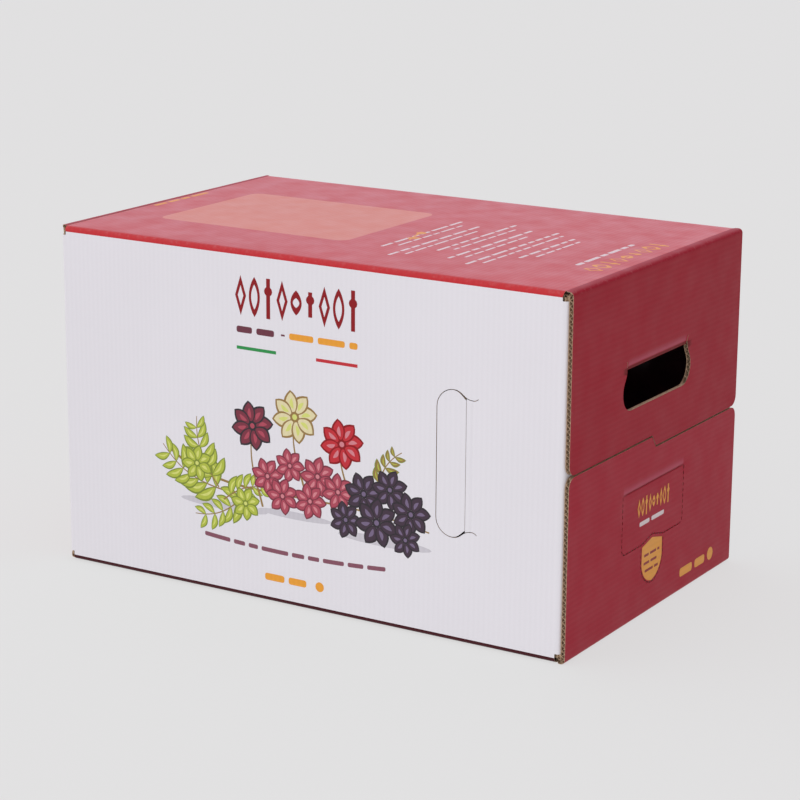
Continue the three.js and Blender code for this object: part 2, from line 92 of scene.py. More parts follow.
# Node helpers
def material(name):
    m = bpy.data.materials.new(name)
    m.use_nodes = True
    return m, m.node_tree, m.node_tree.nodes["Principled BSDF"]


def node(tree, kind, **settings):
    n = tree.nodes.new(kind)
    for key, value in settings.items():
        setattr(n, key, value)
    return n


def feed(tree, socket, value):
    if isinstance(value, bpy.types.NodeSocket):
        tree.links.new(value, socket)
    else:
        socket.default_value = value


def maths(tree, operation, a, b=0.0):
    n = node(tree, "ShaderNodeMath", operation=operation)
    feed(tree, n.inputs[0], a)
    feed(tree, n.inputs[1], b)
    return n.outputs[0]


def ranged(tree, value, low, high, to_low, to_high):
    n = node(tree, "ShaderNodeMapRange", clamp=True)
    for i, v in enumerate((value, low, high, to_low, to_high)):
        feed(tree, n.inputs[i], v)
    return n.outputs[0]


def noise(tree, vector, scale, detail=2.0, rough=0.5):
    n = node(tree, "ShaderNodeTexNoise")
    tree.links.new(vector, n.inputs["Vector"])
    n.inputs["Scale"].default_value = scale
    n.inputs["Detail"].default_value = detail
    n.inputs["Roughness"].default_value = rough
    return n.outputs["Fac"]


def mixed(tree, factor, a, b, blend="MIX"):
    n = node(tree, "ShaderNodeMix", data_type="RGBA", blend_type=blend)
    feed(tree, n.inputs[0], factor)
    feed(tree, n.inputs[6], a)
    feed(tree, n.inputs[7], b)
    return n.outputs[2]


def bumped(tree, shader, parts):
    """Chain of bumps from (height socket, strength, distance in metres)"""
    last = None
    for height, strength, distance in parts:
        n = node(tree, "ShaderNodeBump")
        n.inputs["Strength"].default_value = strength
        n.inputs["Distance"].default_value = distance
        tree.links.new(height, n.inputs["Height"])
        if last:
            tree.links.new(last, n.inputs["Normal"])
        last = n.outputs["Normal"]
    tree.links.new(last, shader.inputs["Normal"])


def blank_fields(tree):
    """Flute wave and paper coordinates from the blank's own map, which is in metres"""
    uv = node(tree, "ShaderNodeTexCoord").outputs["UV"]
    split = node(tree, "ShaderNodeSeparateXYZ")
    tree.links.new(uv, split.inputs[0])
    wobble = noise(tree, uv, 30, 1)
    drift = maths(tree, "MULTIPLY", wobble, 0.9)
    phase = maths(tree, "MULTIPLY_ADD", split.outputs[0], 2 * math.pi / (FLUTE * MM))
    tree.links.new(drift, phase.node.inputs[2])
    wave = maths(tree, "SINE", phase)
    return uv, split, wave


def printed(name, colour, rough, flute=1.0, tone=0.03, spec=0.5, score=None):
    """Clay coated board under ink and varnish; score is (place of the line, middle, half length, side) of a
    score line that gets a painted highlight and painted shade
    """
    m, t, s = material(name)
    uv, split, wave = blank_fields(t)
    cloud = noise(t, uv, 14, 3)
    grain = noise(t, uv, 1400, 2)
    shade = ranged(t, wave, -1, 1, 1 - tone, 1 + tone * 0.4)
    shade = maths(t, "MULTIPLY", shade, ranged(t, cloud, 0.3, 0.7, 1 - 0.9 * tone, 1 + 0.6 * tone))
    shade = maths(t, "MULTIPLY", shade, ranged(t, grain, 0.3, 0.7, 0.985, 1.015))
    base = node(t, "ShaderNodeVectorMath", operation="SCALE")
    base.inputs[0].default_value = colour[:3]
    t.links.new(shade, base.inputs["Scale"])
    result = base.outputs[0]
    # Pale patches along the folds: worn ink, and partly a painted highlight on the fold edges
    worn = ranged(t, noise(t, uv, 260, 4, 0.7), 0.5, 0.7, 0.0, 0.12)
    rub_and_highlight = maths(t, "MULTIPLY", fold_ridges(t, split), worn)
    result = mixed(t, rub_and_highlight, result, srgb(225, 190, 190))
    # Painted highlight and painted shade along a score line
    if score:
        result = score_highlight_and_shade(t, split, result, *score)
    t.links.new(result, s.inputs["Base Color"])
    t.links.new(ranged(t, noise(t, uv, 55, 4), 0.3, 0.7, rough - 0.05, rough + 0.06), s.inputs["Roughness"])
    s.inputs["IOR"].default_value = 1.5
    s.inputs["Specular IOR Level"].default_value = spec
    bumped(t, s, [(wave, 0.28 * flute, 0.00012), (cloud, 0.12, 0.0006), (grain, 0.10, 0.00004)])
    return m


def score_highlight_and_shade(tree, split, base, line, middle, half, side):
    """Painted highlight on one side of a score and painted shade in the crease on the other"""
    above = maths(tree, "MULTIPLY", maths(tree, "SUBTRACT", line * MM, split.outputs[0]), side)
    reach = maths(tree, "ABSOLUTE", maths(tree, "SUBTRACT", split.outputs[1], -middle * MM))
    within = ranged(tree, reach, (half - 1.5) * MM, half * MM, 1.0, 0.0)
    # The pale band beside the score is a painted highlight on the crushed bevel
    near = ranged(tree, above, 0.3 * MM, 1.1 * MM, 0.0, 1.0)
    far = ranged(tree, above, 1.4 * MM, 5.5 * MM, 1.0, 0.0)
    pale = maths(tree, "MULTIPLY", maths(tree, "MULTIPLY", near, far), within)
    base = mixed(tree, maths(tree, "MULTIPLY", pale, 0.16), base, srgb(228, 150, 186))
    # The dark line at the score is painted shade in the crease
    start = ranged(tree, above, -1.3 * MM, -0.1 * MM, 0.0, 1.0)
    stop = ranged(tree, above, -0.1 * MM, 0.3 * MM, 1.0, 0.0)
    shade = maths(tree, "MULTIPLY", maths(tree, "MULTIPLY", start, stop), within)
    return mixed(tree, maths(tree, "MULTIPLY", shade, 0.6), base, srgb(74, 0, 8))


def fold_ridges(tree, split):
    """1 along the folds of the blank, fading within 2.5 mm"""
    x = maths(tree, "ABSOLUTE", split.outputs[0])
    s = maths(tree, "ABSOLUTE", split.outputs[1])
    end_ridge, side_ridge = 199.3 * MM, 124.35 * MM
    fx = maths(tree, "ABSOLUTE", maths(tree, "SUBTRACT", x, end_ridge))
    fs = maths(tree, "ABSOLUTE", maths(tree, "SUBTRACT", s, side_ridge))
    near = maths(tree, "MINIMUM", fx, fs)
    return ranged(tree, near, 0.0, 2.5 * MM, 1.0, 0.0)


def kraft(name, colour):
    """Unprinted brown paper with long fibres and a few dark flecks"""
    m, t, s = material(name)
    co = node(t, "ShaderNodeTexCoord").outputs["Object"]
    stretch = node(t, "ShaderNodeMapping")
    stretch.inputs["Scale"].default_value = (1.0, 1.0, 5.0)
    t.links.new(co, stretch.inputs["Vector"])
    fibre = noise(t, stretch.outputs[0], 420, 5, 0.65)
    fleck = noise(t, co, 900, 2)
    dark = tuple(c * 0.62 for c in colour[:3]) + (1,)
    light = tuple(min(1, c * 1.25) for c in colour[:3]) + (1,)
    base = mixed(t, ranged(t, fibre, 0.35, 0.68, 0.0, 1.0), dark, light)
    base = mixed(t, ranged(t, fleck, 0.66, 0.75, 0.0, 0.45), base, dark)
    t.links.new(base, s.inputs["Base Color"])
    t.links.new(ranged(t, fibre, 0.3, 0.7, 0.77, 0.95), s.inputs["Roughness"])
    bumped(t, s, [(fibre, 0.5, 0.00015)])
    return m


WHITE = printed("white_print", srgb(231, 228, 234), 0.42, 0.6, 0.012)
RED = printed("red_print", srgb(196, 10, 28), 0.33, 0.6, 0.03)
# The end faces take darker, less glossy copies of the red print: painted shade where the ends turn from the
# light
END_RED_PAINTED_SHADE = printed("end_red_painted_shade", srgb(172, 6, 34), 0.46, 0.7, 0.035, spec=0.16)
# Score lines of the end grip and the tear-out, which get a painted highlight and painted shade
UPPER_SCORE_SHADING = (MINOR_X + FLAP_D - GRIP_TOP, GRIP_Y, END_HALF - HOOK - 0.5, 1.0)
LOWER_SCORE_SHADING = (MINOR_X + FLAP_D - (TOP - TEAR_TOP), TEAR_Y, TEAR_HALF, -1.0)
END_UPPER_PAINTED_LIGHT = printed("end_red_upper_painted_light", srgb(163, 2, 35), 0.46, 0.7, 0.035, 0.16, UPPER_SCORE_SHADING)
END_LOWER_PAINTED_LIGHT = printed("end_red_lower_painted_light", srgb(170, 9, 42), 0.46, 0.7, 0.035, 0.18, LOWER_SCORE_SHADING)
# Dark red on the lower front fold: painted shade
LOW_FOLD_PAINTED_SHADE = printed("low_fold_painted_shade", srgb(66, 6, 18), 0.5, 0.6, 0.02, spec=0.2)
# Dark red on the turned-in grip strips and the walls of the tear-out slits: painted shade
STRIP_PAINTED_SHADE = printed("turned_in_painted_shade", srgb(118, 0, 14), 0.5, 0.7, 0.03, spec=0.12)
SALMON = printed("salmon_print", srgb(218, 124, 104), 0.38, 0.6, 0.02)
KRAFT = kraft("kraft_liner", srgb(186, 156, 128))
FLUTED = kraft("flute_paper", srgb(206, 176, 146))
EDGE = kraft("cut_edge", srgb(204, 178, 152))
INKS = {
    "field": WHITE,
    "ground": RED,
    "ground_end": END_RED_PAINTED_SHADE,
    "gold": printed("gold_ink", srgb(236, 160, 52), 0.4, spec=0.3),
    "pale": printed("pale_ink", srgb(232, 214, 216), 0.4),
    "wine": printed("wine_ink", srgb(142, 4, 18), 0.4, 0.6, spec=0.3),
    "plum": printed("plum_ink", srgb(104, 38, 58), 0.42, 0.6),
    "mauve": printed("mauve_ink", srgb(132, 74, 92), 0.42, 0.6),
    "red": printed("bright_red_ink", srgb(196, 24, 40), 0.4, 0.6),
}
for ink, rgb in (
    ("green", (24, 142, 66)),
    ("lime", (178, 190, 62)),
    ("lime_light", (214, 219, 118)),
    ("lime_dark", (124, 140, 36)),
    ("rose", (176, 66, 86)),
    ("rose_light", (212, 128, 138)),
    ("rose_dark", (122, 34, 56)),
    ("night", (58, 36, 56)),
    ("night_light", (116, 98, 130)),
    ("night_dark", (32, 20, 32)),
    ("cream", (228, 216, 172)),
    ("stem", (150, 118, 62)),
    ("mist", (204, 200, 208)),
):
    INKS[ink] = printed(f"{ink}_ink", srgb(*rgb), 0.4, 0.6)


# Folding: each takes places on the blank and heights above the printed face, and gives millimetres
def smooth(x):
    x = np.clip(x, 0, 1)
    return x * x * (3 - 2 * x)


def fold_girth(p, n):
    """The girth strip; places are (x, distance along the girth)"""
    x, s = p[:, 0], p[:, 1]
    r = FOLD + n
    a = np.abs(s)
    side = np.where(s >= 0, -1.0, 1.0)
    turn = np.clip((a - FOLD_Y) / FOLD, 0, math.pi / 2)
    top = a <= FOLD_Y
    y = np.where(top, -s, side * (FOLD_Y + r * np.sin(turn)))
    z = np.where(top, TOP + n, FOLD_Z + r * np.cos(turn))
    down = a > S_FRONT
    y = np.where(down, side * (HALF_Y + n), y)
    z = np.where(down, FOLD_Z - (a - S_FRONT), z)
    turn = np.clip((s - S_FRONT - WALL) / FOLD, 0, math.pi / 2)
    low = s > S_FRONT + WALL
    y = np.where(low, -FOLD_Y - r * np.cos(turn), y)
    z = np.where(low, FOLD - r * np.sin(turn), z)
    under = s > S_BOTTOM
    y = np.where(under, -FOLD_Y + (s - S_BOTTOM), y)
    z = np.where(under, -n, z)
    turn = np.clip((s - S_BOTTOM - UNDERSIDE) / FOLD, 0, math.pi / 2)
    lap = s > S_BOTTOM + UNDERSIDE
    y = np.where(lap, LAP_Y + r * np.sin(turn), y)
    z = np.where(lap, FOLD - r * np.cos(turn), z)
    up = s > S_LAP
    y = np.where(up, LAP_Y + r, y)
    z = np.where(up, FOLD + (s - S_LAP), z)
    return np.stack([x, y, z], 1)


def fold_flap(end, level):
    """Outer flap of an end (+1 tap end) and level (+1 top); places are (distance past MINOR_X, y)"""

    def fold(p, n):
        d, y = p[:, 0], p[:, 1]
        r = FOLD + n
        turn = np.clip((d - ROOT) / FOLD, 0, math.pi / 2)
        x = np.where(d < ROOT, MINOR_X + d, FOLD_X + r * np.sin(turn))
        z = np.where(d < ROOT, TOP + n, FOLD_Z + r * np.cos(turn))
        z = np.where(d > ROOT + ARC, FLAP_D - d, z)
        return np.stack([end * x, y, np.where(level > 0, z, TOP - z)], 1)

    return fold


def fold_minor(end, face):
    """Minor flap behind the outer ones; places are (distance past MINOR_X, z)"""

    def fold(p, n):
        d, z = p[:, 0], p[:, 1]
        r = FOLD + n
        turn = np.clip(d / FOLD, 0, math.pi / 2)
        x = MINOR_X + r * np.sin(turn)
        y = np.where(d > ARC, FOLD_Y - (d - ARC), FOLD_Y + r * np.cos(turn))
        return np.stack([end * x, face * y, z], 1)

    return fold


# Meshes on the blank
def inside(points, loop):
    """Which points lie in a closed outline"""
    x, y = points[:, 0][:, None], points[:, 1][:, None]
    a, b = loop, np.roll(loop, -1, 0)
    ax, ay, bx, by = a[:, 0], a[:, 1], b[:, 0], b[:, 1]
    crosses = (ay > y) != (by > y)
    with np.errstate(divide="ignore", invalid="ignore"):
        at = (bx - ax) * (y - ay) / (by - ay) + ax
    return (np.sum(crosses & (x < at), axis=1) % 2) == 1


def dense(loop, step, closed=True):
    """The same outline with no edge longer than step"""
    loop = np.asarray(loop, float)
    ends = np.roll(loop, -1, 0) if closed else loop[1:]
    out = []
    for a, b in zip(loop, ends):
        count = max(1, int(math.ceil(np.linalg.norm(b - a) / step)))
        out.extend(a + (b - a) * (i / count) for i in range(count))
    if not closed:
        out.append(loop[-1])
    return np.array(out)


def triangles(loops, lines=(), spacing=None, keep=None):
    """Triangulates outlines and lines, and keeps what keep says, or the first outline less the others"""
    points, edges = [], []

    def add(chain, closed):
        start = len(points)
        points.extend(Vector((float(x), float(y))) for x, y in chain)
        count = len(chain)
        edges.extend((start + i, start + i + 1) for i in range(count - 1))
        if closed:
            edges.append((start + count - 1, start))

    for loop in loops:
        add(loop, True)
    for line in lines:
        add(line, False)
    if spacing:
        low, high = loops[0].min(0), loops[0].max(0)
        gx = np.arange(low[0] + spacing / 2, high[0], spacing)
        gy = np.arange(low[1] + spacing / 2, high[1], spacing)
        grid = np.array([(x, y) for x in gx for y in gy])
        grid = grid[inside(grid, loops[0])]
        points.extend(Vector((float(x), float(y))) for x, y in grid)
    found, _, faces, *_ = delaunay_2d_cdt(points, edges, [], 0, 1e-4)
    co = np.array([tuple(v) for v in found])
    faces = np.array([f for f in faces if len(f) == 3], int)
    middle = co[faces].mean(1)
    if keep is None:
        ok = inside(middle, loops[0])
        for loop in loops[1:]:
            ok &= ~inside(middle, loop)
    else:
        ok = keep(middle)
    faces = faces[ok]
    used, back = np.unique(faces, return_inverse=True)
    return co[used], back.reshape(faces.shape), middle[ok]


def added(name, data):
    ob = bpy.data.objects.new(name, data)
    bpy.context.scene.collection.objects.link(ob)
    return ob


def make(name, co, faces, uv, slots, indices, body="box", slot="printed_board", angle=32):
    mesh = bpy.data.meshes.new(name)
    mesh.from_pydata((co * MM).tolist(), [], [list(f) for f in faces])
    for m in slots:
        mesh.materials.append(m)
    mesh.polygons.foreach_set("material_index", np.asarray(indices, int))
    if uv is not None:
        layer = mesh.uv_layers.new(name="blank")
        corners = np.zeros(len(mesh.loops), int)
        mesh.loops.foreach_get("vertex_index", corners)
        layer.data.foreach_set("uv", (uv[corners] * MM).ravel())
    mesh.validate()
    mesh.polygons.foreach_set("use_smooth", [True] * len(mesh.polygons))
    mesh.set_sharp_from_angle(angle=math.radians(angle))
    mesh.update()
    ob = added(name, mesh)
    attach(ob, body)
    return ob


def facing(co, faces, fold, p):
    """Flips the faces if they look away from the printed side"""
    a, b, c = (co[faces[:, i]] for i in range(3))
    first = faces[np.argmax(np.linalg.norm(np.cross(b - a, c - a), axis=1))]
    a, b, c = co[first]
    lift = fold(p[first], np.ones(3)) - fold(p[first], np.zeros(3))
    return faces if np.dot(np.cross(b - a, c - a), lift.mean(0)) > 0 else faces[:, ::-1]


def sheet(
    name,
    loops,
    fold,
    slots,
    zone=None,
    faces_at=OUTER,
    lines=(),
    spacing=None,
    press=None,
    uv_of=None,
    rim_zone=None,
    **where,
):
    """One layer of paper with both faces and its cut rim"""
    p, faces, middle = triangles(loops, lines, spacing)
    offset = press(p) if press else 0
    top, bottom = (fold(p, n + offset + np.zeros(len(p))) for n in faces_at)
    faces = facing(top, faces, fold, p)
    count = len(p)
    directed = {}
    for f in faces:
        for a, b in ((f[0], f[1]), (f[1], f[2]), (f[2], f[0])):
            directed[(int(a), int(b))] = True
    rim = [(a, b) for a, b in directed if (b, a) not in directed]
    under = len(slots) - 1
    every = [tuple(f) for f in faces]
    index = list(zone(middle)) if zone else [0] * len(faces)
    every += [tuple(int(i) + count for i in f[::-1]) for f in faces]
    index += [under] * len(faces)
    every += [(a, a + count, b + count, b) for a, b in rim]
    index += [rim_zone(p[a]) if rim_zone else under for a, _ in rim]
    uv = uv_of(p) if uv_of else p
    return make(name, np.vstack([top, bottom]), every, np.vstack([uv, uv]), slots, index, **where)


def crossings(loops, x):
    """Where the line at x meets the outlines, sorted"""
    hits = []
    for loop in loops:
        a, b = loop, np.roll(loop, -1, 0)
        cut = (a[:, 0] > x) != (b[:, 0] > x)
        a, b = a[cut], b[cut]
        hits.extend(a[:, 1] + (b[:, 1] - a[:, 1]) * (x - a[:, 0]) / (b[:, 0] - a[:, 0]))
    return sorted(hits)


def flutes(name, loops, fold, x0, x1, reach, full, step=FLUTE / 10, **where):
    """The fluted layer, to a reach behind each cut edge and right across in the ranges of full"""
    co, faces = [], []
    xs = np.arange(x0, x1, step)
    half_paper = 0.16
    inset = 0.12

    def height(x):
        return -BOARD / 2 + (BOARD / 2 - LINER - half_paper) * math.sin(2 * math.pi * x / FLUTE)

    for a, b in zip(xs[:-1], xs[1:]):
        ca, cb = crossings(loops, a), crossings(loops, b)
        if len(ca) != len(cb):
            ca = cb = crossings(loops, (a + b) / 2)
        for i in range(0, len(ca) - 1, 2):
            low_a, high_a, low_b, high_b = ca[i], ca[i + 1], cb[i], cb[i + 1]
            if min(high_a - low_a, high_b - low_b) < 0.3:
                continue
            whole = any(f0 <= a <= f1 for f0, f1 in full) or high_a - low_a < 2 * reach
            spans = [(low_a, high_a, low_b, high_b)]
            if not whole:
                spans = [
                    (low_a, low_a + reach, low_b, low_b + reach),
                    (high_a - reach, high_a, high_b - reach, high_b),
                ]
            for la, ha, lb, hb in spans:
                quad = np.array([(a, la + inset), (a, ha - inset), (b, hb - inset), (b, lb + inset)])
                n = np.array([height(a), height(a), height(b), height(b)])
                start = len(co)
                co.extend(fold(quad, n + half_paper))
                co.extend(fold(quad, n - half_paper))
                for f in ((0, 1, 2, 3), (7, 6, 5, 4), (0, 3, 7, 4), (1, 5, 6, 2)):
                    faces.append(tuple(start + k for k in f))
    return make(name, np.array(co), faces, None, [FLUTED], [0] * len(faces), angle=40, **where)


def ribbon(name, chain, fold, recess=0.5):
    """Crushed flute paper just inside a cut that runs along the flutes"""
    co, faces = [], []
    count = len(chain)
    for n in (-LINER * 0.7, -0.9, -1.7, -BOARD + LINER * 0.7):
        moved = chain.copy()
        moved[:, 0] += recess + 0.25 * math.sin(n * 3)
        co.extend(fold(moved, n + np.zeros(count)))
    for row in range(3):
        for a in range(row * count, row * count + count - 1):
            faces.append((a, a + 1, a + count + 1, a + count))
    return make(name, np.array(co), faces, None, [EDGE], [0] * len(faces), angle=60)


def painted(name, shapes, place):
    """Flat print: shapes are (outline, ink) from back to front, and what lies on top shows"""
    names = sorted({ink for _, ink in shapes})
    loops = [np.asarray(outline, float) for outline, _ in shapes]
    index = None

    def keep(middle):
        nonlocal index
        top = np.full(len(middle), -1)
        for loop, (_, ink) in zip(loops, shapes):
            top[inside(middle, loop)] = names.index(ink)
        index = top[top >= 0]
        return top >= 0

    p, faces, _ = triangles(loops, keep=keep)
    co, uv = place(p, INK_LIFT)
    lifted, _ = place(p, INK_LIFT + 1)
    a, b, c = (co[faces[:, i]] for i in range(3))
    if np.sum(np.cross(b - a, c - a) * (lifted - co)[faces[:, 0]]) < 0:
        faces = faces[:, ::-1]
    return make(name, co, [tuple(f) for f in faces], uv, [INKS[n] for n in names], index)


# Places on the faces of the carton, for print
def on_front(p, lift):
    co = np.stack([p[:, 0], np.full(len(p), -HALF_Y - lift), p[:, 1]], 1)
    return co, np.stack([p[:, 0], S_FRONT + FOLD_Z - p[:, 1]], 1)


def on_back(p, lift):
    co = np.stack([-p[:, 0], np.full(len(p), HALF_Y + lift), p[:, 1]], 1)
    return co, np.stack([-p[:, 0], -S_FRONT - FOLD_Z + p[:, 1]], 1)


def on_top(p, lift):
    co = np.stack([p[:, 0], p[:, 1], np.full(len(p), TOP + lift)], 1)
    return co, np.stack([p[:, 0], -p[:, 1]], 1)


def on_end(end):
    def place(p, lift):
        co = np.stack([np.full(len(p), end * (HALF_X + lift)), end * p[:, 0], p[:, 1]], 1)
        return co, np.stack([MINOR_X + FLAP_D - p[:, 1], -p[:, 0]], 1)

    return place


# Outlines of the grips: u from the first score to the free edge, v along the score
def bezier(a, b, c, d, count=9):
    t = np.linspace(0, 1, count)[:, None]
    a, b, c, d = (np.array(q, float) for q in (a, b, c, d))
    return (1 - t) ** 3 * a + 3 * (1 - t) ** 2 * t * b + 3 * (1 - t) * t * t * c + t**3 * d


def arc(cx, cy, r, start, stop, count=9):
    t = np.radians(np.linspace(start, stop, count))
    return np.stack([cx + r * np.cos(t), cy + r * np.sin(t)], 1)


def half_grip(reach, half, grow):
    """The side of a grip with v above zero, from the score to the middle of the free edge"""
    corner = CORNER + grow
    crest_u = reach + grow - corner
    crest_v = half + grow
    hook_v = half - HOOK + grow
    turn = crest_u / 2
    rise = bezier((0, hook_v), (turn, hook_v), (turn, crest_v), (crest_u, crest_v))
    round_ = arc(crest_u, crest_v - corner, corner, 90, 0)
    return np.vstack([rise, round_[1:]])


def tail(half, grow):
    """The cut past the score, which curls away from the grip"""
    hook_v = half - HOOK + grow
    curl = (-TAIL, hook_v + 1.5), (-TAIL * 0.6, hook_v + 0.3), (-TAIL * 0.4, hook_v), (0, hook_v)
    return bezier(*curl, 6)[:-1]


def mirrored(chain):
    return (chain * (1, -1))[::-1]


def grip_hole(reach, half, with_strip):
    """What is cut from the panel, with or without the strip between the scores left standing"""
    outer = np.vstack([tail(half, CUT), half_grip(reach, half, CUT)])
    loop = [outer, mirrored(outer)]
    inner_tail = tail(half, 0.0)
    if with_strip:
        flat = half_grip(reach, half, 0.0)
        cut = flat[flat[:, 0] < PITCH]
        beyond = flat[flat[:, 0] >= PITCH][0]
        last = cut[-1]
        share = (PITCH - last[0]) / (beyond[0] - last[0])
        at = last + (beyond - last) * share
        side = np.vstack([inner_tail, cut, [at]])
        loop += [side * (1, -1), side[::-1]]
    else:
        loop += [np.array([(0.0, -(half - HOOK)), (0.0, half - HOOK)])]
    return np.vstack(loop)


def crushed_hole(reach, half, crushed=7.0):
    """The hole and the crushed board past its first score, where no flutes stand"""
    side = np.vstack([[(-crushed, half - HOOK + 3)], half_grip(reach, half, CUT)])
    return np.vstack([side, mirrored(side)])


def grip_face(reach, half, start):
    """The flap itself beyond the second score, a little eased at its shoulders"""
    whole = half_grip(reach, half, 0.0)
    neck = np.interp(start, whole[:9, 0], whole[:9, 1])
    side = np.vstack([[(start, neck)], whole[whole[:, 0] > start]])
    ease = 1.3 * np.clip(1 - (side[:, 0] - start) / 8.0, 0, 1)
    side[:, 1] -= ease
    return np.vstack([side, mirrored(side)])


# The blank's own parts: where each grip's flat drawing lies on its panel
def side_grip_place(face):
    """Front (+1) or back (-1) grip on the girth blank"""

    def place(q):
        s = S_FRONT + FOLD_Z - (SIDE_Z + q[:, 1])
        return np.stack([SIDE_X - q[:, 0], face * s], 1)

    return place


def end_grip_place(q):
    """End grip on a top outer flap"""
    return np.stack([FLAP_D - GRIP_TOP + q[:, 0], GRIP_Y - q[:, 1]], 1)


def rounded(x0, y0, x1, y1, r, count=5):
    corners = ((x1 - r, y0 + r), (x1 - r, y1 - r), (x0 + r, y1 - r), (x0 + r, y0 + r))
    return np.vstack([arc(x, y, r, 90 * i - 90, 90 * i, count) for i, (x, y) in enumerate(corners)])


def girth_outline():
    """The strip of the large panels, with a small notch beside each fold of the front and the back"""
    x, notch = MINOR_X, MINOR_X - 1
    right = [
        (x, -FOLD_Y),
        (x, FOLD_Y),
        (x - 0.6, S_FRONT - 0.8),
        (notch, S_FRONT),
        (notch, S_FRONT + 3),
        (x, S_FRONT + 3.4),
        (x, S_BOTTOM - ARC - 3.4),
        (notch, S_BOTTOM - ARC - 3),
        (notch, S_BOTTOM - ARC),
        (x - 0.6, S_BOTTOM - 0.8),
        (x, S_BOTTOM + 2),
        (x, S_BOTTOM + UNDERSIDE),
        (x - 8, S_LAP - 1),
        (x - 8, S_END),
    ]
    back = [(x, -S_FRONT - 3.4), (notch, -S_FRONT - 3), (notch, -S_FRONT), (x - 0.6, -S_FRONT + 0.8)]

    def other_side(chain):
        return [(-px, s) for px, s in chain[::-1]]

    left = other_side(right)[:-2] + [(-x, -FOLD_Y)] + other_side(back)
    return np.array(right + left + [(-x, S_BACK), (x, S_BACK)] + back)


def flap_outline(level, inset=0.0):
    """Outer flap in (distance past MINOR_X, y), from its root to the stepped seam"""
    height = (lambda z: z) if level > 0 else (lambda z: TOP - z)
    front = FLAP_D - height(SEAM_FRONT + level * SEAM_GAP / 2)
    back = FLAP_D - height(SEAM_BACK + level * SEAM_GAP / 2)
    r = SEAM_R
    low = -FLAP_HALF + inset
    points = [(0.0, -FOLD_Y), (1.2, -FLAP_HALF + 0.6), (2.4, -FLAP_HALF)]
    if inset:
        points = [(0.0, -FOLD_Y), (ROOT, -121.6), (ROOT + ARC, low - 0.4), (ROOT + ARC + 4, low)]
    points += list(arc(front - r, low + r, r, -90, 0, 9))
    points += [(front, STEP_Y - STEP_RUN / 2), (back, STEP_Y + STEP_RUN / 2)]
    points += list(arc(back - r, FLAP_HALF - r, r, 0, 90, 9))
    points += [(2.4, FLAP_HALF), (1.2, FLAP_HALF - 0.6), (0.0, FOLD_Y)]
    return np.array(points)


def perforated_lines():
    left, right, c = TEAR_Y - TEAR_HALF, TEAR_Y + TEAR_HALF, 5.0
    half, peak, drop = 16.5, 4.0, 30.0
    panel = np.vstack(
        [
            [(left, TEAR_TOP)],
            arc(left + c, TEAR_BOTTOM + c, c, 180, 270, 7),
            [(TEAR_Y - half, TEAR_BOTTOM), (TEAR_Y, TEAR_BOTTOM + peak), (TEAR_Y + half, TEAR_BOTTOM)],
            arc(right - c, TEAR_BOTTOM + c, c, 270, 360, 7),
            [(right, TEAR_TOP)],
        ]
    )
    tip, shoulder = TEAR_BOTTOM - drop, TEAR_BOTTOM - drop / 2
    t = np.linspace(0, 1, 9)[:, None]

    def curve(a, b, c_):
        a, b, c_ = (np.array(q, float) for q in (a, b, c_))
        return (1 - t) ** 2 * a + 2 * (1 - t) * t * b + t * t * c_

    tab = np.vstack(
        [
            [(TEAR_Y - half, TEAR_BOTTOM - 2)],
            curve((TEAR_Y - half, shoulder), (TEAR_Y - half * 0.8, tip + 2), (TEAR_Y, tip)),
            curve((TEAR_Y, tip), (TEAR_Y + half * 0.8, tip + 2), (TEAR_Y + half, shoulder))[1:],
            [(TEAR_Y + half, TEAR_BOTTOM - 2)],
        ]
    )
    return panel, tab


def perforations(w, h):
    """Slits along the tear lines as outlines in (y, z), from their half length and half width"""
    slits = []
    for line in perforated_lines():
        steps = np.linalg.norm(np.diff(line, axis=0), axis=1)
        along = np.concatenate([[0], np.cumsum(steps)])
        count = max(1, round(along[-1] / 4.0))

        def point(at):
            return np.array([np.interp(at, along, line[:, k]) for k in (0, 1)])

        for i in range(count):
            at = (i + 0.5) / count * along[-1]
            way = point(min(at + 0.4, along[-1])) - point(max(at - 0.4, 0))
            way /= np.linalg.norm(way)
            across = np.array([-way[1], way[0]])
            corners = ((-w, -h), (w, -h), (w, h), (-w, h))
            slits.append(np.array([point(at) + way * a + across * b for a, b in corners]))
    return slits


def flap_place(level):
    """(y, z) on the end face to places on the outer flap"""

    def place(q):
        z = q[:, 1] if level > 0 else TOP - q[:, 1]
        return np.stack([FLAP_D - z, q[:, 0]], 1)

    return place


def fold_lines(axis, values, low, high, step=None):
    """Straight lines across the blank at the given values of one axis"""
    lines = []
    for v in values:
        ends = [(v, low), (v, high)] if axis == 0 else [(low, v), (high, v)]
        lines.append(dense(ends, step, False) if step else np.array(ends))
    return lines


# Creases pressed into the faces
def press_girth(p):
    x, s = p[:, 0], p[:, 1]
    z = FOLD_Z - (np.abs(s) - S_FRONT)
    within = smooth((SIDE_HALF - HOOK + 1.5 - np.abs(z - SIDE_Z)) / 3)
    within = within * (np.abs(s) > S_FRONT) * (s < S_BOTTOM)
    first = -0.32 * np.exp(-(((x - SIDE_X) / 0.7) ** 2))
    second = -0.28 * np.exp(-(((x - SIDE_X + PITCH) / 0.7) ** 2))
    return (first + second) * within


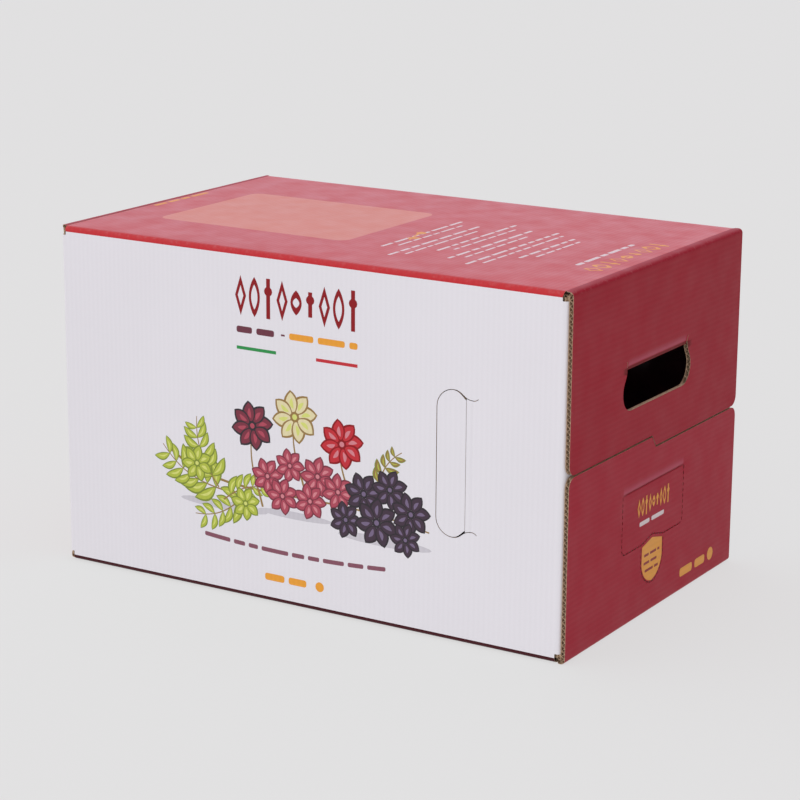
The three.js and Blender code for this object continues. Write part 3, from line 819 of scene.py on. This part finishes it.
def press_end(level):
    def press(p):
        d, y = p[:, 0], p[:, 1]
        z = FLAP_D - d if level > 0 else TOP - FLAP_D + d
        if level > 0:
            off = z - GRIP_TOP
            within = smooth((END_HALF - HOOK + 3 - np.abs(y - GRIP_Y)) / 6)
            beside = np.abs(y - GRIP_Y) > END_HALF - HOOK + 0.3
            above = np.exp(-((off / 3.2) ** 2)) * (off > -1e-3)
            below = np.exp(-((off / 2.0) ** 2)) * (off <= -1e-3) * beside
            return -SUNK * (above + below) * within
        within = smooth((TEAR_HALF + 0.5 - np.abs(y - TEAR_Y)) / 2)
        off = z - TEAR_TOP
        line = -0.55 * np.exp(-((off / 0.7) ** 2))
        dip = -0.25 * np.exp(-(np.maximum(-off, 0) / 14)) * (off < 0)
        return (line + dip) * within

    return press


def fold_end_flap(end, level):
    """Outer flap, with the strip of its grip turned in at the first score"""
    plain = fold_flap(end, level)
    if level < 0:
        return plain
    side = half_grip(END_REACH, END_HALF, 0.25)[:9]
    start = np.array([HALF_X - SUNK, GRIP_TOP])
    belly = np.array([HALF_X - SUNK + 0.35, GRIP_TOP - 2.6])
    hinge = np.array([HINGE_X, HINGE_Z])

    def fold(p, n):
        co = plain(p, n)
        u = p[:, 0] - (FLAP_D - GRIP_TOP)
        v = p[:, 1] - GRIP_Y
        width = np.interp(u, side[:, 0], side[:, 1])
        strip = (u > 1e-3) & (u < PITCH + 0.05) & (np.abs(v) < width)
        share = np.clip(u / PITCH, 0, 1)[:, None]
        way = 2 * (1 - share) * (belly - start) + 2 * share * (hinge - belly)
        way /= np.linalg.norm(way, axis=1)[:, None]
        normal = np.stack([-way[:, 1], way[:, 0]], 1)
        at = (1 - share) ** 2 * start + 2 * share * (1 - share) * belly + share**2 * hinge
        at += normal * n[:, None]
        co[strip, 0] = end * at[strip, 0]
        co[strip, 2] = at[strip, 1]
        return co

    return fold


# The girth strip: back, top, front, bottom and glue lap
def side_hole(face, with_strip):
    return side_grip_place(face)(grip_hole(SIDE_REACH, SIDE_HALF, with_strip))


girth_edges = dense(girth_outline(), 24)
arc_steps = np.linspace(0, ARC, 7)
RED_EDGE = S_FRONT + 0.9
WHITE_END = S_FRONT + 233.6
SIDE_S = S_FRONT + FOLD_Z - SIDE_Z
girth_folds = [RED_EDGE, -RED_EDGE, WHITE_END, *(-FOLD_Y - arc_steps)]
for start in (FOLD_Y, S_FRONT + WALL, S_BOTTOM + UNDERSIDE):
    girth_folds += list(start + arc_steps)
girth_folds.sort()
girth_lines = fold_lines(1, girth_folds, -MINOR_X, MINOR_X, 24)
crease = [SIDE_X + o for o in (-1.4, -0.7, 0, 0.7, 1.4)] + [SIDE_X - PITCH + o for o in (-0.05, 0.7, 1.4)]
for face in (1, -1):
    span = SIDE_HALF - HOOK + 3
    low, high = sorted((face * (SIDE_S - span), face * (SIDE_S + span)))
    girth_lines += fold_lines(0, crease, low, high, 6)
salmon_field = rounded(-159, -65, -4, 55, 8, 7) * (1, -1)


def girth_zone(middle):
    """Which paper or ink shows: 0 white, 1 red, 2 salmon, 3 kraft, 4 the lower fold printed dark as painted
    shade
    """
    s = middle[:, 1]
    index = np.full(len(middle), 1)
    index[(s > RED_EDGE) & (s < WHITE_END)] = 0
    index[s < -RED_EDGE] = 0
    index[s > S_LAP - 1] = 3
    index[inside(middle, salmon_field)] = 2
    # The lower front fold is printed dark: painted shade
    index[(s >= WHITE_END) & (s < S_BOTTOM)] = 4
    return index


sheet(
    "printed_wrap",
    [girth_edges, side_hole(1, True), side_hole(-1, True)],
    fold_girth,
    [WHITE, RED, SALMON, KRAFT, LOW_FOLD_PAINTED_SHADE, KRAFT],
    girth_zone,
    lines=girth_lines + [np.vstack([salmon_field, salmon_field[:1]])],
    spacing=26,
    press=press_girth,
)
sheet(
    "inner_wrap",
    [girth_edges, side_hole(1, False), side_hole(-1, False)],
    fold_girth,
    [KRAFT],
    faces_at=(INNER[0], -BOARD + 0.01),
    lines=fold_lines(1, girth_folds, -MINOR_X, MINOR_X, 40),
)
near, far = 98, 142
for face, tag in ((1, "front"), (-1, "back")):
    low, high = SIDE_S - 58, SIDE_S + 58
    round_grip = np.array([(near, low), (far, low), (far, high), (near, high)]) * (1, face)
    loops = [round_grip, side_hole(face, False)]
    full = [(near, near + 6), (SIDE_X + 1.2, SIDE_X + 8)]
    flutes(f"flutes_{tag}_panel", loops, fold_girth, near + 0.5, far - 0.5, 7.0, full)
low, high = S_BACK, S_BACK + 9
back_edge = np.array([(-MINOR_X, low), (MINOR_X, low), (MINOR_X, high), (-MINOR_X, high)])
full = [(-HALF_X, HALF_X)]
flutes("flutes_back_edge", [back_edge], fold_girth, -MINOR_X + 0.2, MINOR_X - 0.2, 5.0, full, FLUTE / 8)


# Outer flaps of both ends
def strip_zone(middle):
    """1 on the strip of the grip between its scores, which is printed dark as painted shade, 0 on the face"""
    u = middle[:, 0] - (FLAP_D - GRIP_TOP)
    return ((u > 0) & (u < PITCH + 0.1) & (np.abs(middle[:, 1] - GRIP_Y) < END_HALF)).astype(int)


def slit_wall(q):
    """1 on the walls of the tear-out slits, coloured dark red as painted shade, 2 on the other cut edges of a
    lower flap
    """
    z = TOP - FLAP_D + q[0]
    return 1 if 12 < z < TEAR_TOP + 2 and abs(q[1] - TEAR_Y) < TEAR_HALF + 3 else 2


def flap_uv(p):
    return np.stack([MINOR_X + p[:, 0], -p[:, 1]], 1)


def end_grip_uv(q):
    return flap_uv(end_grip_place(q))


slits = perforations(1.2, 0.42)
torn = perforations(1.7, 1.8)
root_folds = ROOT + arc_steps
for end, end_name in ENDS:
    for level, level_name in ((1, "upper"), (-1, "lower")):
        name = f"{end_name}_{level_name}"
        outline = flap_outline(level, 0.0 if end > 0 else 6.5)
        loops = [dense(outline, 20)]
        inner_loops = [dense(outline, 30)]
        flute_loops = inner_loops[:1]
        lines = fold_lines(0, root_folds, -FLAP_HALF, FLAP_HALF, 20)
        edge = outline[:, 0].max()
        full = [(0, ROOT + ARC + 3), (edge - 16, edge)]
        # End flaps take the darker red copies: painted shade
        red, zone, press, rim_zone = END_RED_PAINTED_SHADE, None, None, None
        if level > 0:
            red, zone, press = END_UPPER_PAINTED_LIGHT, strip_zone, press_end(level)
            loops.append(end_grip_place(grip_hole(END_REACH, END_HALF, True)))
            inner_loops.append(end_grip_place(grip_hole(END_REACH, END_HALF, False)))
            flute_loops.append(end_grip_place(crushed_hole(END_REACH, END_HALF)))
            at = FLAP_D - GRIP_TOP
            crease = [at - o for o in (9, 6.5, 5, 3.8, 2.8, 2, 1.2, 0.6)]
            crease += [at + o for o in (0.02, 0.7, 1.4, 2.1, 2.8, 3.5, 4.1)]
            lines += fold_lines(0, crease, GRIP_Y - END_HALF - 2, GRIP_Y + END_HALF + 2, 4)
            full.append((at + END_REACH, at + END_REACH + 5))
            free, flat_v = END_REACH + CUT, END_HALF - CORNER + 6
            cut = end_grip_place(np.array([(free, -flat_v), (free, flat_v)]))
        elif end > 0:
            red, press, rim_zone = END_LOWER_PAINTED_LIGHT, press_end(level), slit_wall
            place = flap_place(level)
            loops += [place(q) for q in slits]
            inner_loops += [place(q) for q in torn]
            crease = [FLAP_D - (TOP - TEAR_TOP) + o for o in (-1.6, -0.9, -0.4, 0, 0.4, 0.9, 1.6)]
            lines += fold_lines(0, crease, TEAR_Y - TEAR_HALF - 0.6, TEAR_Y + TEAR_HALF + 0.6, 8)
        sheet(
            f"printed_{name}_flap",
            loops,
            fold_end_flap(end, level),
            [red, STRIP_PAINTED_SHADE, KRAFT],
            zone,
            lines=lines,
            spacing=16,
            press=press,
            uv_of=flap_uv,
            rim_zone=rim_zone,
        )
        fold = fold_flap(end, level)
        lines = fold_lines(0, root_folds, -FLAP_HALF, FLAP_HALF, 40)
        sheet(f"inner_{name}_flap", inner_loops, fold, [KRAFT], faces_at=INNER, lines=lines, uv_of=flap_uv)
        flutes(f"flutes_{name}_flap", flute_loops, fold, ROOT + 0.1, edge - 0.15, 11.0, full)
        if level > 0:
            ribbon(f"cut_{name}_0", dense(cut, 4, False), fold)


# Minor flaps
def minor_uv(p):
    return np.stack([MINOR_X + p[:, 0], S_FRONT + FOLD_Z - p[:, 1]], 1)


MINOR_LOW, MINOR_REACH = 3.3, 67.7
minor_edge = [(0, 6.2), (5, 6.2), (6.5, 4.8), (6.5, MINOR_LOW), (MINOR_REACH, MINOR_LOW)]
minor_outline = dense(minor_edge + [(d, TOP - z) for d, z in minor_edge[::-1]], 20)
low, reach = MINOR_LOW + 0.2, MINOR_REACH - 0.2
minor_flutes = dense([(0.4, low), (6.3, low), (reach, low), (reach, TOP - low), (0.4, TOP - low)], 20)
minor_lines = fold_lines(0, arc_steps[1:], MINOR_LOW, TOP - MINOR_LOW, 20)
for end, end_name in ENDS:
    for face, face_name in ((-1, "front"), (1, "back")):
        name, fold = f"{end_name}_{face_name}_minor", fold_minor(end, face)
        for layer, faces_at, slots in (("printed", OUTER, [WHITE, KRAFT]), ("inner", INNER, [KRAFT])):
            sheet(
                f"{layer}_{name}",
                [minor_outline],
                fold,
                slots,
                faces_at=faces_at,
                lines=minor_lines,
                spacing=30,
                uv_of=minor_uv,
            )
        flutes(f"flutes_{name}", [minor_flutes], fold, 0.5, reach - 0.1, 9.0, [], FLUTE / 8)


# Grip flaps, which ride their own bodies
def grip_piece(body, reach, half, place, uv_of, ink):
    """Both liners and the flutes of a flap; place takes (u, v) and the depth into the board"""
    start = PITCH + 0.25
    where = {"body": body, "slot": "white_board"}

    def outline(root):
        return [dense(grip_face(reach, half, root), 12)]

    def fold(p, n):
        return place(p, -n)

    sheet(f"printed_{body}", outline(start), fold, [ink, KRAFT], spacing=14, uv_of=uv_of, **where)
    sheet(f"inner_{body}", outline(start + BOARD), fold, [KRAFT], faces_at=INNER, uv_of=uv_of, **where)
    full = [(0, start + 6), (reach - 5, reach)]
    flutes(f"flutes_{body}", outline(start + 1.5), fold, start + 1.6, reach - 0.15, 8.0, full, **where)


for face, body in ((1, "front_grip"), (-1, "back_grip")):

    def place_side(q, depth, face=face):
        return np.stack([SIDE_X - q[:, 0], -face * (HALF_Y - depth), SIDE_Z + q[:, 1]], 1)

    grip_piece(body, SIDE_REACH, SIDE_HALF, place_side, side_grip_place(face), WHITE)

for end, end_name in ENDS:

    def place_end(q, depth, end=end):
        u = q[:, 0] - PITCH
        c, s = math.cos(FLAP_ANGLE), math.sin(FLAP_ANGLE)
        x, z = HINGE_X - u * s - depth * c, HINGE_Z - u * c + depth * s
        return np.stack([end * x, GRIP_Y - q[:, 1], z], 1)

    # The end grip flaps take the darker red copy: painted shade
    grip_piece(f"{end_name}_grip", END_REACH, END_HALF, place_end, end_grip_uv, END_RED_PAINTED_SHADE)


# Print: generic shapes in the colours and sizes of the photographed print
def turned(p, turn, x, y):
    c, s = math.cos(turn), math.sin(turn)
    return p @ np.array([[c, s], [-s, c]]) + (x, y)


def oval(cx, cy, a, b, turn=0.0, count=20):
    t = np.linspace(0, 2 * math.pi, count, endpoint=False)
    return turned(np.stack([a * np.cos(t), b * np.sin(t)], 1), turn, cx, cy)


def leaf(x, y, length, width, turn, bend=0.15, count=9):
    """Pointed leaf from its stalk end"""
    t = np.linspace(0, 1, count)
    spread = width / 2 * np.sin(math.pi * t) ** 0.8
    centre = bend * length * np.sin(math.pi * t)
    up = np.stack([t * length, centre + spread], 1)
    down = np.stack([t * length, centre - spread], 1)[::-1][1:-1]
    return turned(np.vstack([up, down]), turn, x, y)


def lozenge(cx, cy, w, h):
    return np.array([(cx, cy - h), (cx + w, cy), (cx, cy + h), (cx - w, cy)])


def band(points, width):
    """Line of a given width through points, tapering at its ends"""
    points = np.asarray(points, float)
    way = np.gradient(points, axis=0)
    way /= np.linalg.norm(way, axis=1)[:, None]
    across = np.stack([-way[:, 1], way[:, 0]], 1)
    taper = np.linspace(1, 0.5, len(points))[:, None]
    return np.vstack([points + across * width / 2 * taper, (points - across * width / 2 * taper)[::-1]])


def bar(x0, y0, x1, y1):
    return np.array([(x0, y0), (x1, y0), (x1, y1), (x0, y1)])


def word_row(x0, x1, y0, y1, ink, seed, fill=0.62):
    """A line of small print as dashes of a word's length"""
    rng = random.Random(seed)
    height = y1 - y0
    thick = height * fill
    middle = (y0 + y1) / 2
    out = []
    x = x0
    while x < x1 - height * 0.8:
        length = min(height * rng.uniform(1.2, 3.6), x1 - x)
        out.append((rounded(x, middle - thick / 2, x + length, middle + thick / 2, thick * 0.3, 3), ink))
        x += length + height * 0.5
    return out


def title_row(x0, x1, y0, y1, ink, hollow, stroke):
    """Large ornament in place of a title: lozenges, upright leaves and bars with a dot"""
    out = []
    height = y1 - y0
    middle = (y0 + y1) / 2
    slots = 9
    step = (x1 - x0) / slots
    w = step * 0.4
    for i in range(slots):
        cx = x0 + (i + 0.5) * step
        tall = height if i < 4 or i > 5 else height * 0.62
        foot = middle - tall / 2
        if i % 3 == 0:
            k = max(0.2, 1 - 2.6 * stroke / (2 * w))
            out.append((lozenge(cx, middle, w, tall / 2), ink))
            out.append((lozenge(cx, middle, w * k, tall / 2 * k), hollow))
        elif i % 3 == 1:
            length, width = tall - stroke * 6, w * 2 - stroke * 2.2
            out.append((leaf(cx, foot, tall, w * 2, math.pi / 2, 0.0, 11), ink))
            out.append((leaf(cx, foot + stroke * 3, length, width, math.pi / 2, 0.0, 11), hollow))
        else:
            out.append((bar(cx - stroke * 0.9, foot, cx + stroke * 0.9, middle + tall / 2), ink))
            out.append((oval(cx, middle + tall * 0.18, stroke * 1.9, stroke * 1.9, 0, 12), ink))
    return out


def toned_leaf(x, y, size, turn, layers, inks):
    """A leaf in several tones: each layer is (start, length, width, bend), the first three in sizes"""
    out = []
    for (start, length, width, bend), ink in zip(layers, inks):
        root = x + math.cos(turn) * size * start, y + math.sin(turn) * size * start
        out.append((leaf(*root, size * length, size * width, turn, bend), ink))
    return out


PETAL = ((0.12, 0.9, 0.62, 0.06), (0.16, 0.78, 0.46, 0.06), (0.30, 0.42, 0.16, 0.1))


def blossom(cx, cy, r, petals, inks, turn=0.0):
    out = []
    for i in range(petals):
        out += toned_leaf(cx, cy, r, turn + 2 * math.pi * i / petals, PETAL, inks)
    out.append((oval(cx, cy, r * 0.2, r * 0.2, 0, 14), inks[0]))
    out.append((oval(cx, cy, r * 0.11, r * 0.11, 0, 12), inks[2]))
    return out


def stalk(a, b, c, d, width):
    return [(band(bezier(a, b, c, d, 14), width), "stem")]


def spray(x, y, length, turn, leaves, inks, seed):
    """A curved stalk with paired leaves"""
    rng = random.Random(seed)
    c, s = math.cos(turn), math.sin(turn)

    def at(t):
        px, py = t * length, 0.16 * length * math.sin(t * 2.6)
        return np.array([x + px * c - py * s, y + px * s + py * c])

    out = [(band([at(t) for t in np.linspace(0, 1, 14)], 1.1), "stem")]
    for i in range(leaves):
        t = 0.16 + 0.82 * i / leaves
        for side in (-1, 1):
            lean = turn + side * rng.uniform(0.75, 1.05)
            size = length * rng.uniform(0.3, 0.38) * (1.1 - 0.5 * t)
            bend = side * 0.1
            layers = ((0, 1, 0.42, bend), (0.04, 0.9, 0.3, bend), (0.15, 0.6, 0.09, side * 0.14))
            out += toned_leaf(*at(t), size, lean, layers, inks)
    return out


LIME, ROSE, NIGHT = ((f"{ink}_dark", ink, f"{ink}_light") for ink in ("lime", "rose", "night"))

front_print = title_row(-52, 47, 195.5, 222.5, "wine", "field", 1.7)
front_print += word_row(-50, -20, 182.5, 189.5, "plum", 3)
front_print += [(bar(-14.5, 185.4, -11.5, 186.6), "plum")]
front_print += word_row(-8, 45, 182.5, 189.5, "gold", 5)
front_print += [(bar(-50, 172.4, -18.5, 174.6), "green"), (bar(13, 172.0, 45, 174.2), "red")]
picture = [(oval(*place), "mist") for place in ((-62, 62, 36, 3.2), (-4, 64, 30, 2.6), (66, 58, 36, 3.4))]
picture += stalk((-108, 96), (-60, 62), (10, 88), (100, 70), 2.0)
for x, y, length, turn, leaves, inks, seed in (
    (-58, 72, 60, 2.62, 7, LIME, 11),
    (-66, 74, 50, 1.85, 6, LIME, 12),
    (-44, 72, 46, 3.5, 5, LIME, 13),
    (-62, 66, 40, 0.25, 5, LIME, 14),
    (60, 92, 34, 0.9, 5, ("lime_dark", "stem", "lime"), 15),
):
    picture += spray(x, y, length, turn, leaves, inks, seed)
for sx, sy, top_y, r, inks in (
    (-38, 84, 121, 17, ("night_dark", "rose_dark", "rose")),
    (-4, 100, 132, 18, ("stem", "cream", "lime_light")),
    (33, 96, 119, 17, ("wine", "red", "rose_light")),
):
    picture += stalk((sx + 8, sy - 18), (sx + 3, sy), (sx - 4, sy + 10), (sx, top_y), 1.6)
    picture += blossom(sx, top_y, r, 8, inks, 0.2)
for cx, cy, r, inks, turn in (
    (-26, 88, 13, ROSE, 0.2),
    (-8, 98, 12, ROSE, 0.9),
    (14, 94, 14, ROSE, 0.5),
    (-14, 76, 13, ROSE, 0.4),
    (8, 76, 13, ROSE, 0.0),
    (-44, 66, 12, LIME, 0.3),
    (-84, 88, 13, LIME, 0.5),
    (30, 86, 13, ROSE, 0.7),
    (50, 88, 15, NIGHT, 0.2),
    (70, 94, 14, NIGHT, 0.35),
    (36, 68, 13, NIGHT, 0.0),
    (60, 70, 17, NIGHT, 0.6),
    (86, 80, 15, NIGHT, 0.1),
    (82, 62, 12, NIGHT, 0.4),
):
    picture += blossom(cx, cy, r, 7, inks, turn)
front_print += picture


def on_arc(outline, centre_x, bow, half):
    """Bends level print into a shallow arc"""
    x, y = outline[:, 0], outline[:, 1]
    return np.stack([x, y - bow * (1 - ((x - centre_x) / half) ** 2)], 1)


slogan = word_row(-78, 67, 36.5, 42.5, "mauve", 22, 0.5)
front_print += [(on_arc(dense(o, 3), -5, 3.2, 73), ink) for o, ink in slogan]
front_print += word_row(-28.5, 9, 14.2, 21, "gold", 9, 0.72) + [(oval(15.5, 17.6, 3.4, 3.4), "gold")]
painted("front_print", front_print, on_front)
painted("back_print", front_print, on_back)


def across(shapes):
    return [(outline[:, ::-1], ink) for outline, ink in shapes]


top_print = across(word_row(-28, 36, -192.5, -186.5, "gold", 9, 0.6))
for i, (y0, y1) in enumerate(((-66, 44), (-88, 30), (-58, 48), (-76, 36), (-86, 46), (-50, 34))):
    x = 26 + i * 19
    top_print += across(word_row(y0, y1, x - 3, x + 3, "pale", 40 + i, 0.42))
    top_print += across(word_row(y0 + 9, y1 - 14, x + 5, x + 10, "pale", 70 + i, 0.4))
swash = band([(22, -8), (25, -20), (30, -38)], 2.2)
for outline in (oval(24, -12, 3.6, 3.6), oval(29, -30, 4.6, 2.6, 0.6), swash):
    top_print.append((outline, "gold"))
top_print += across(title_row(-62, 45, 170.5, 185, "gold", "ground", 1.2))
top_print += across(word_row(-50, 31, 160, 165.5, "pale", 8))
painted("top_print", top_print, on_top)

for end, tag in ENDS:
    shapes = title_row(-27, 22, 70.5, 83.5, "gold", "ground_end", 0.95)
    shapes += word_row(-23, 20, 62.5, 68.5, "pale", 17, 0.5)
    if end > 0:
        _, tab = perforated_lines()
        rim = np.vstack([[(TEAR_Y, 53.2)], [(TEAR_Y - 16.2, 49.4)], tab[1:-1], [(TEAR_Y + 16.2, 49.4)]])
        centre = np.array([(TEAR_Y, 37.0)])
        shapes.append((centre + (rim - centre) * 0.92, "gold"))
        for k, (z, w) in enumerate(((41.5, 11.5), (36.0, 12), (30.5, 10))):
            shapes += word_row(TEAR_Y - w, TEAR_Y + w, z - 1.8, z + 1.8, "wine", 60 + k, 0.5)
    shapes += word_row(42, 82, 9.5, 18, "gold", 9, 0.72) + [(oval(91, 14.5, 4.6, 4.6), "gold")]
    painted(f"{tag}_print", shapes, on_end(end))


# The film bag, crumpled within the room of its CAD solid
def bag_mesh():
    """A rounded block with creases all over, dented behind the end grips, the side grips and the tap"""
    corner_end, corner_side = 192.7, 117.7
    low, high = 3.3, 232.0
    counts = (96, 60, 56)
    grid, faces, seen = [], [], {}

    def vertex(key):
        if key not in seen:
            seen[key] = len(grid)
            grid.append([2 * i / n - 1 for i, n in zip(key, counts)])
        return seen[key]

    for u, v, w, flips in ((0, 1, 2, (True, False)), (0, 2, 1, (False, True)), (1, 2, 0, (True, False))):
        for a in range(counts[u]):
            for b in range(counts[v]):
                for c, flip in zip((0, counts[w]), flips):
                    f = []
                    for da, db in ((0, 0), (1, 0), (1, 1), (0, 1)):
                        key = {u: a + da, v: b + db, w: c}
                        f.append(vertex((key[0], key[1], key[2])))
                    faces.append(f[::-1] if flip else f)
    p = np.array(grid)
    scale = np.sum(np.abs(p) ** 12, axis=1) ** (-1 / 12)
    p = p * scale[:, None]
    x, y, z = p[:, 0] * corner_end, p[:, 1] * corner_side, low + (p[:, 2] + 1) * (high - low) / 2
    creases = np.zeros(len(p))
    rng = random.Random(5)
    for _ in range(26):
        way = np.array([rng.gauss(0, 1), rng.gauss(0, 1), rng.gauss(0, 1)])
        way /= np.linalg.norm(way)
        at = rng.uniform(-0.6, 0.6) * 190
        wide = rng.uniform(2.5, 6)
        along = x * way[0] + y * way[1] + z * way[2] - at
        creases += rng.uniform(0.4, 1.3) * np.exp(-((along / wide) ** 2))
    creases = np.clip(creases, 0, 2.6) + 0.3

    def dent(depth, du, hu, dv, hv):
        return depth * np.minimum(1, 1.15 * np.exp(-((du / hu) ** 4) - ((dv / hv) ** 4)))

    tap_z, seat_half, seat_x = 60, 24, 148.3
    grip = dent(40, y - GRIP_Y, END_HALF * 1.5, z - GRIP_TOP, END_REACH * 1.6)
    tap = np.where(x > 0, dent(44, y - TEAR_Y, 45.5, z - tap_z, 45.5), 0)
    end_limit = corner_end - (grip**4 + tap**4) ** 0.25 - creases
    behind_side = dent(30, x - (SIDE_X - SIDE_REACH / 2), 33.8, z - SIDE_Z, 63.05)
    side_limit = corner_side - behind_side - creases
    x = np.clip(x, -end_limit, end_limit)
    y = np.clip(y, -side_limit, side_limit)
    z = np.clip(z, low + 0.05, high - creases * 1.6)
    seat = (x > 140) & (np.abs(y - TEAR_Y) < seat_half) & (np.abs(z - tap_z) < seat_half)
    x = np.where(seat, np.minimum(x, seat_x), x)
    return np.stack([x, y, z], 1), faces


def film():
    m, t, s = material("bag_film")
    co = node(t, "ShaderNodeTexCoord").outputs["Object"]
    crease = noise(t, co, 28, 4, 0.6)
    colour = mixed(t, ranged(t, crease, 0.4, 0.6, 0, 1), srgb(16, 5, 9), srgb(34, 10, 18))
    t.links.new(colour, s.inputs["Base Color"])
    t.links.new(ranged(t, crease, 0.3, 0.7, 0.14, 0.3), s.inputs["Roughness"])
    s.inputs["IOR"].default_value = 1.5
    bumped(t, s, [(crease, 0.6, 0.002)])
    return m


co, faces = bag_mesh()
make("film_bag", co, faces, None, [film()], [0] * len(faces), slot="bag_film", angle=60)


def moulded(name, colour, rough):
    m, t, s = material(name)
    co = node(t, "ShaderNodeTexCoord").outputs["Object"]
    grain = noise(t, co, 1500, 2)
    flow = noise(t, co, 60, 3)
    dark = tuple(c * 0.85 for c in colour[:3]) + (1,)
    t.links.new(mixed(t, ranged(t, flow, 0.3, 0.7, 0, 1), dark, colour), s.inputs["Base Color"])
    t.links.new(ranged(t, flow, 0.3, 0.7, rough - 0.06, rough + 0.08), s.inputs["Roughness"])
    s.inputs["IOR"].default_value = 1.49
    bumped(t, s, [(grain, 0.2, 0.00005)])
    return m


for name, look in (
    ("bag_gland", moulded("gland_plastic", srgb(233, 231, 224), 0.4)),
    ("tap_body", moulded("tap_plastic", srgb(29, 29, 31), 0.42)),
    ("tap_key", moulded("key_plastic", srgb(168, 31, 43), 0.3)),
):
    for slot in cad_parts[name].material_slots:
        slot.material = look

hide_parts("filled_bag")
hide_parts("carton")
for tag in ("front_grip", "back_grip", "tap_end_grip", "far_end_grip"):
    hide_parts(f"{tag}_flap")

# Floor, faintly lit from within so that it stays even round the carton
floor_mesh = bpy.data.meshes.new("floor")
floor_corners = [(x * 30, y * 30, -0.0002) for x, y in ((-1, -1), (1, -1), (1, 1), (-1, 1))]
floor_mesh.from_pydata(floor_corners, [], [(0, 1, 2, 3)])
floor = added("floor", floor_mesh)
m, t, s = material("floor")
s.inputs["Base Color"].default_value = (0.16, 0.16, 0.16, 1)
s.inputs["Roughness"].default_value = 0.9
s.inputs["Specular IOR Level"].default_value = 0.0
s.inputs["Emission Color"].default_value = (1, 1, 1, 1)
s.inputs["Emission Strength"].default_value = 0.62
floor_mesh.materials.append(m)

# Light: surroundings that are bright at the front, the left and above and dim at the right
world = bpy.data.worlds.new("studio")
bpy.context.scene.world = world
world.use_nodes = True
t = world.node_tree
ground = t.nodes["Background"]
way = node(t, "ShaderNodeTexCoord").outputs["Generated"]
lean = node(t, "ShaderNodeVectorMath", operation="DOT_PRODUCT")
t.links.new(way, lean.inputs[0])
lean.inputs[1].default_value = Vector((-0.9, -0.12, 0.3)).normalized()
level = node(t, "ShaderNodeMapRange", interpolation_type="SMOOTHSTEP")
for i, v in enumerate((-0.55, 0.12, 0.22, 1.0), 1):
    level.inputs[i].default_value = v
t.links.new(lean.outputs["Value"], level.inputs[0])
t.links.new(level.outputs[0], ground.inputs[1])
across_y = node(t, "ShaderNodeSeparateXYZ")
t.links.new(way, across_y.inputs[0])
behind = ranged(t, across_y.outputs[1], 0.1, 0.8, 0.0, 1.0)
t.links.new(mixed(t, behind, (1.0, 0.985, 1.0, 1.0), (1.0, 0.84, 0.97, 1.0)), ground.inputs[0])

key_data = bpy.data.lights.new("key", "AREA")
key_data.shape = "SQUARE"
key_data.size = 1.1
key_data.energy = 9
key = added("key", key_data)
key.location = (1.0, -2.3, 0.75)
key.rotation_mode = "QUATERNION"
key.rotation_quaternion = (Vector((0.15, 0, 0.1)) - Vector((1.0, -2.3, 0.75))).to_track_quat("-Z", "Y")

# Camera at the photograph's angle
right = Vector((0.85136, 0.52453, 0.00673)).normalized()
forward = Vector((-0.50594, 0.82444, -0.25360)).normalized()
up = right.cross(forward).normalized()
camera_data = bpy.data.cameras.new("camera")
camera_data.sensor_width = 36
camera_data.lens = 111.59
camera_data.clip_end = 100
camera = added("camera", camera_data)
turn = Matrix((right, up, -forward)).transposed().to_4x4()
camera.matrix_world = Matrix.Translation((0.87884, -1.43118, 0.55709)) @ turn
bpy.context.scene.camera = camera
bpy.context.scene.view_settings.view_transform = "Standard"
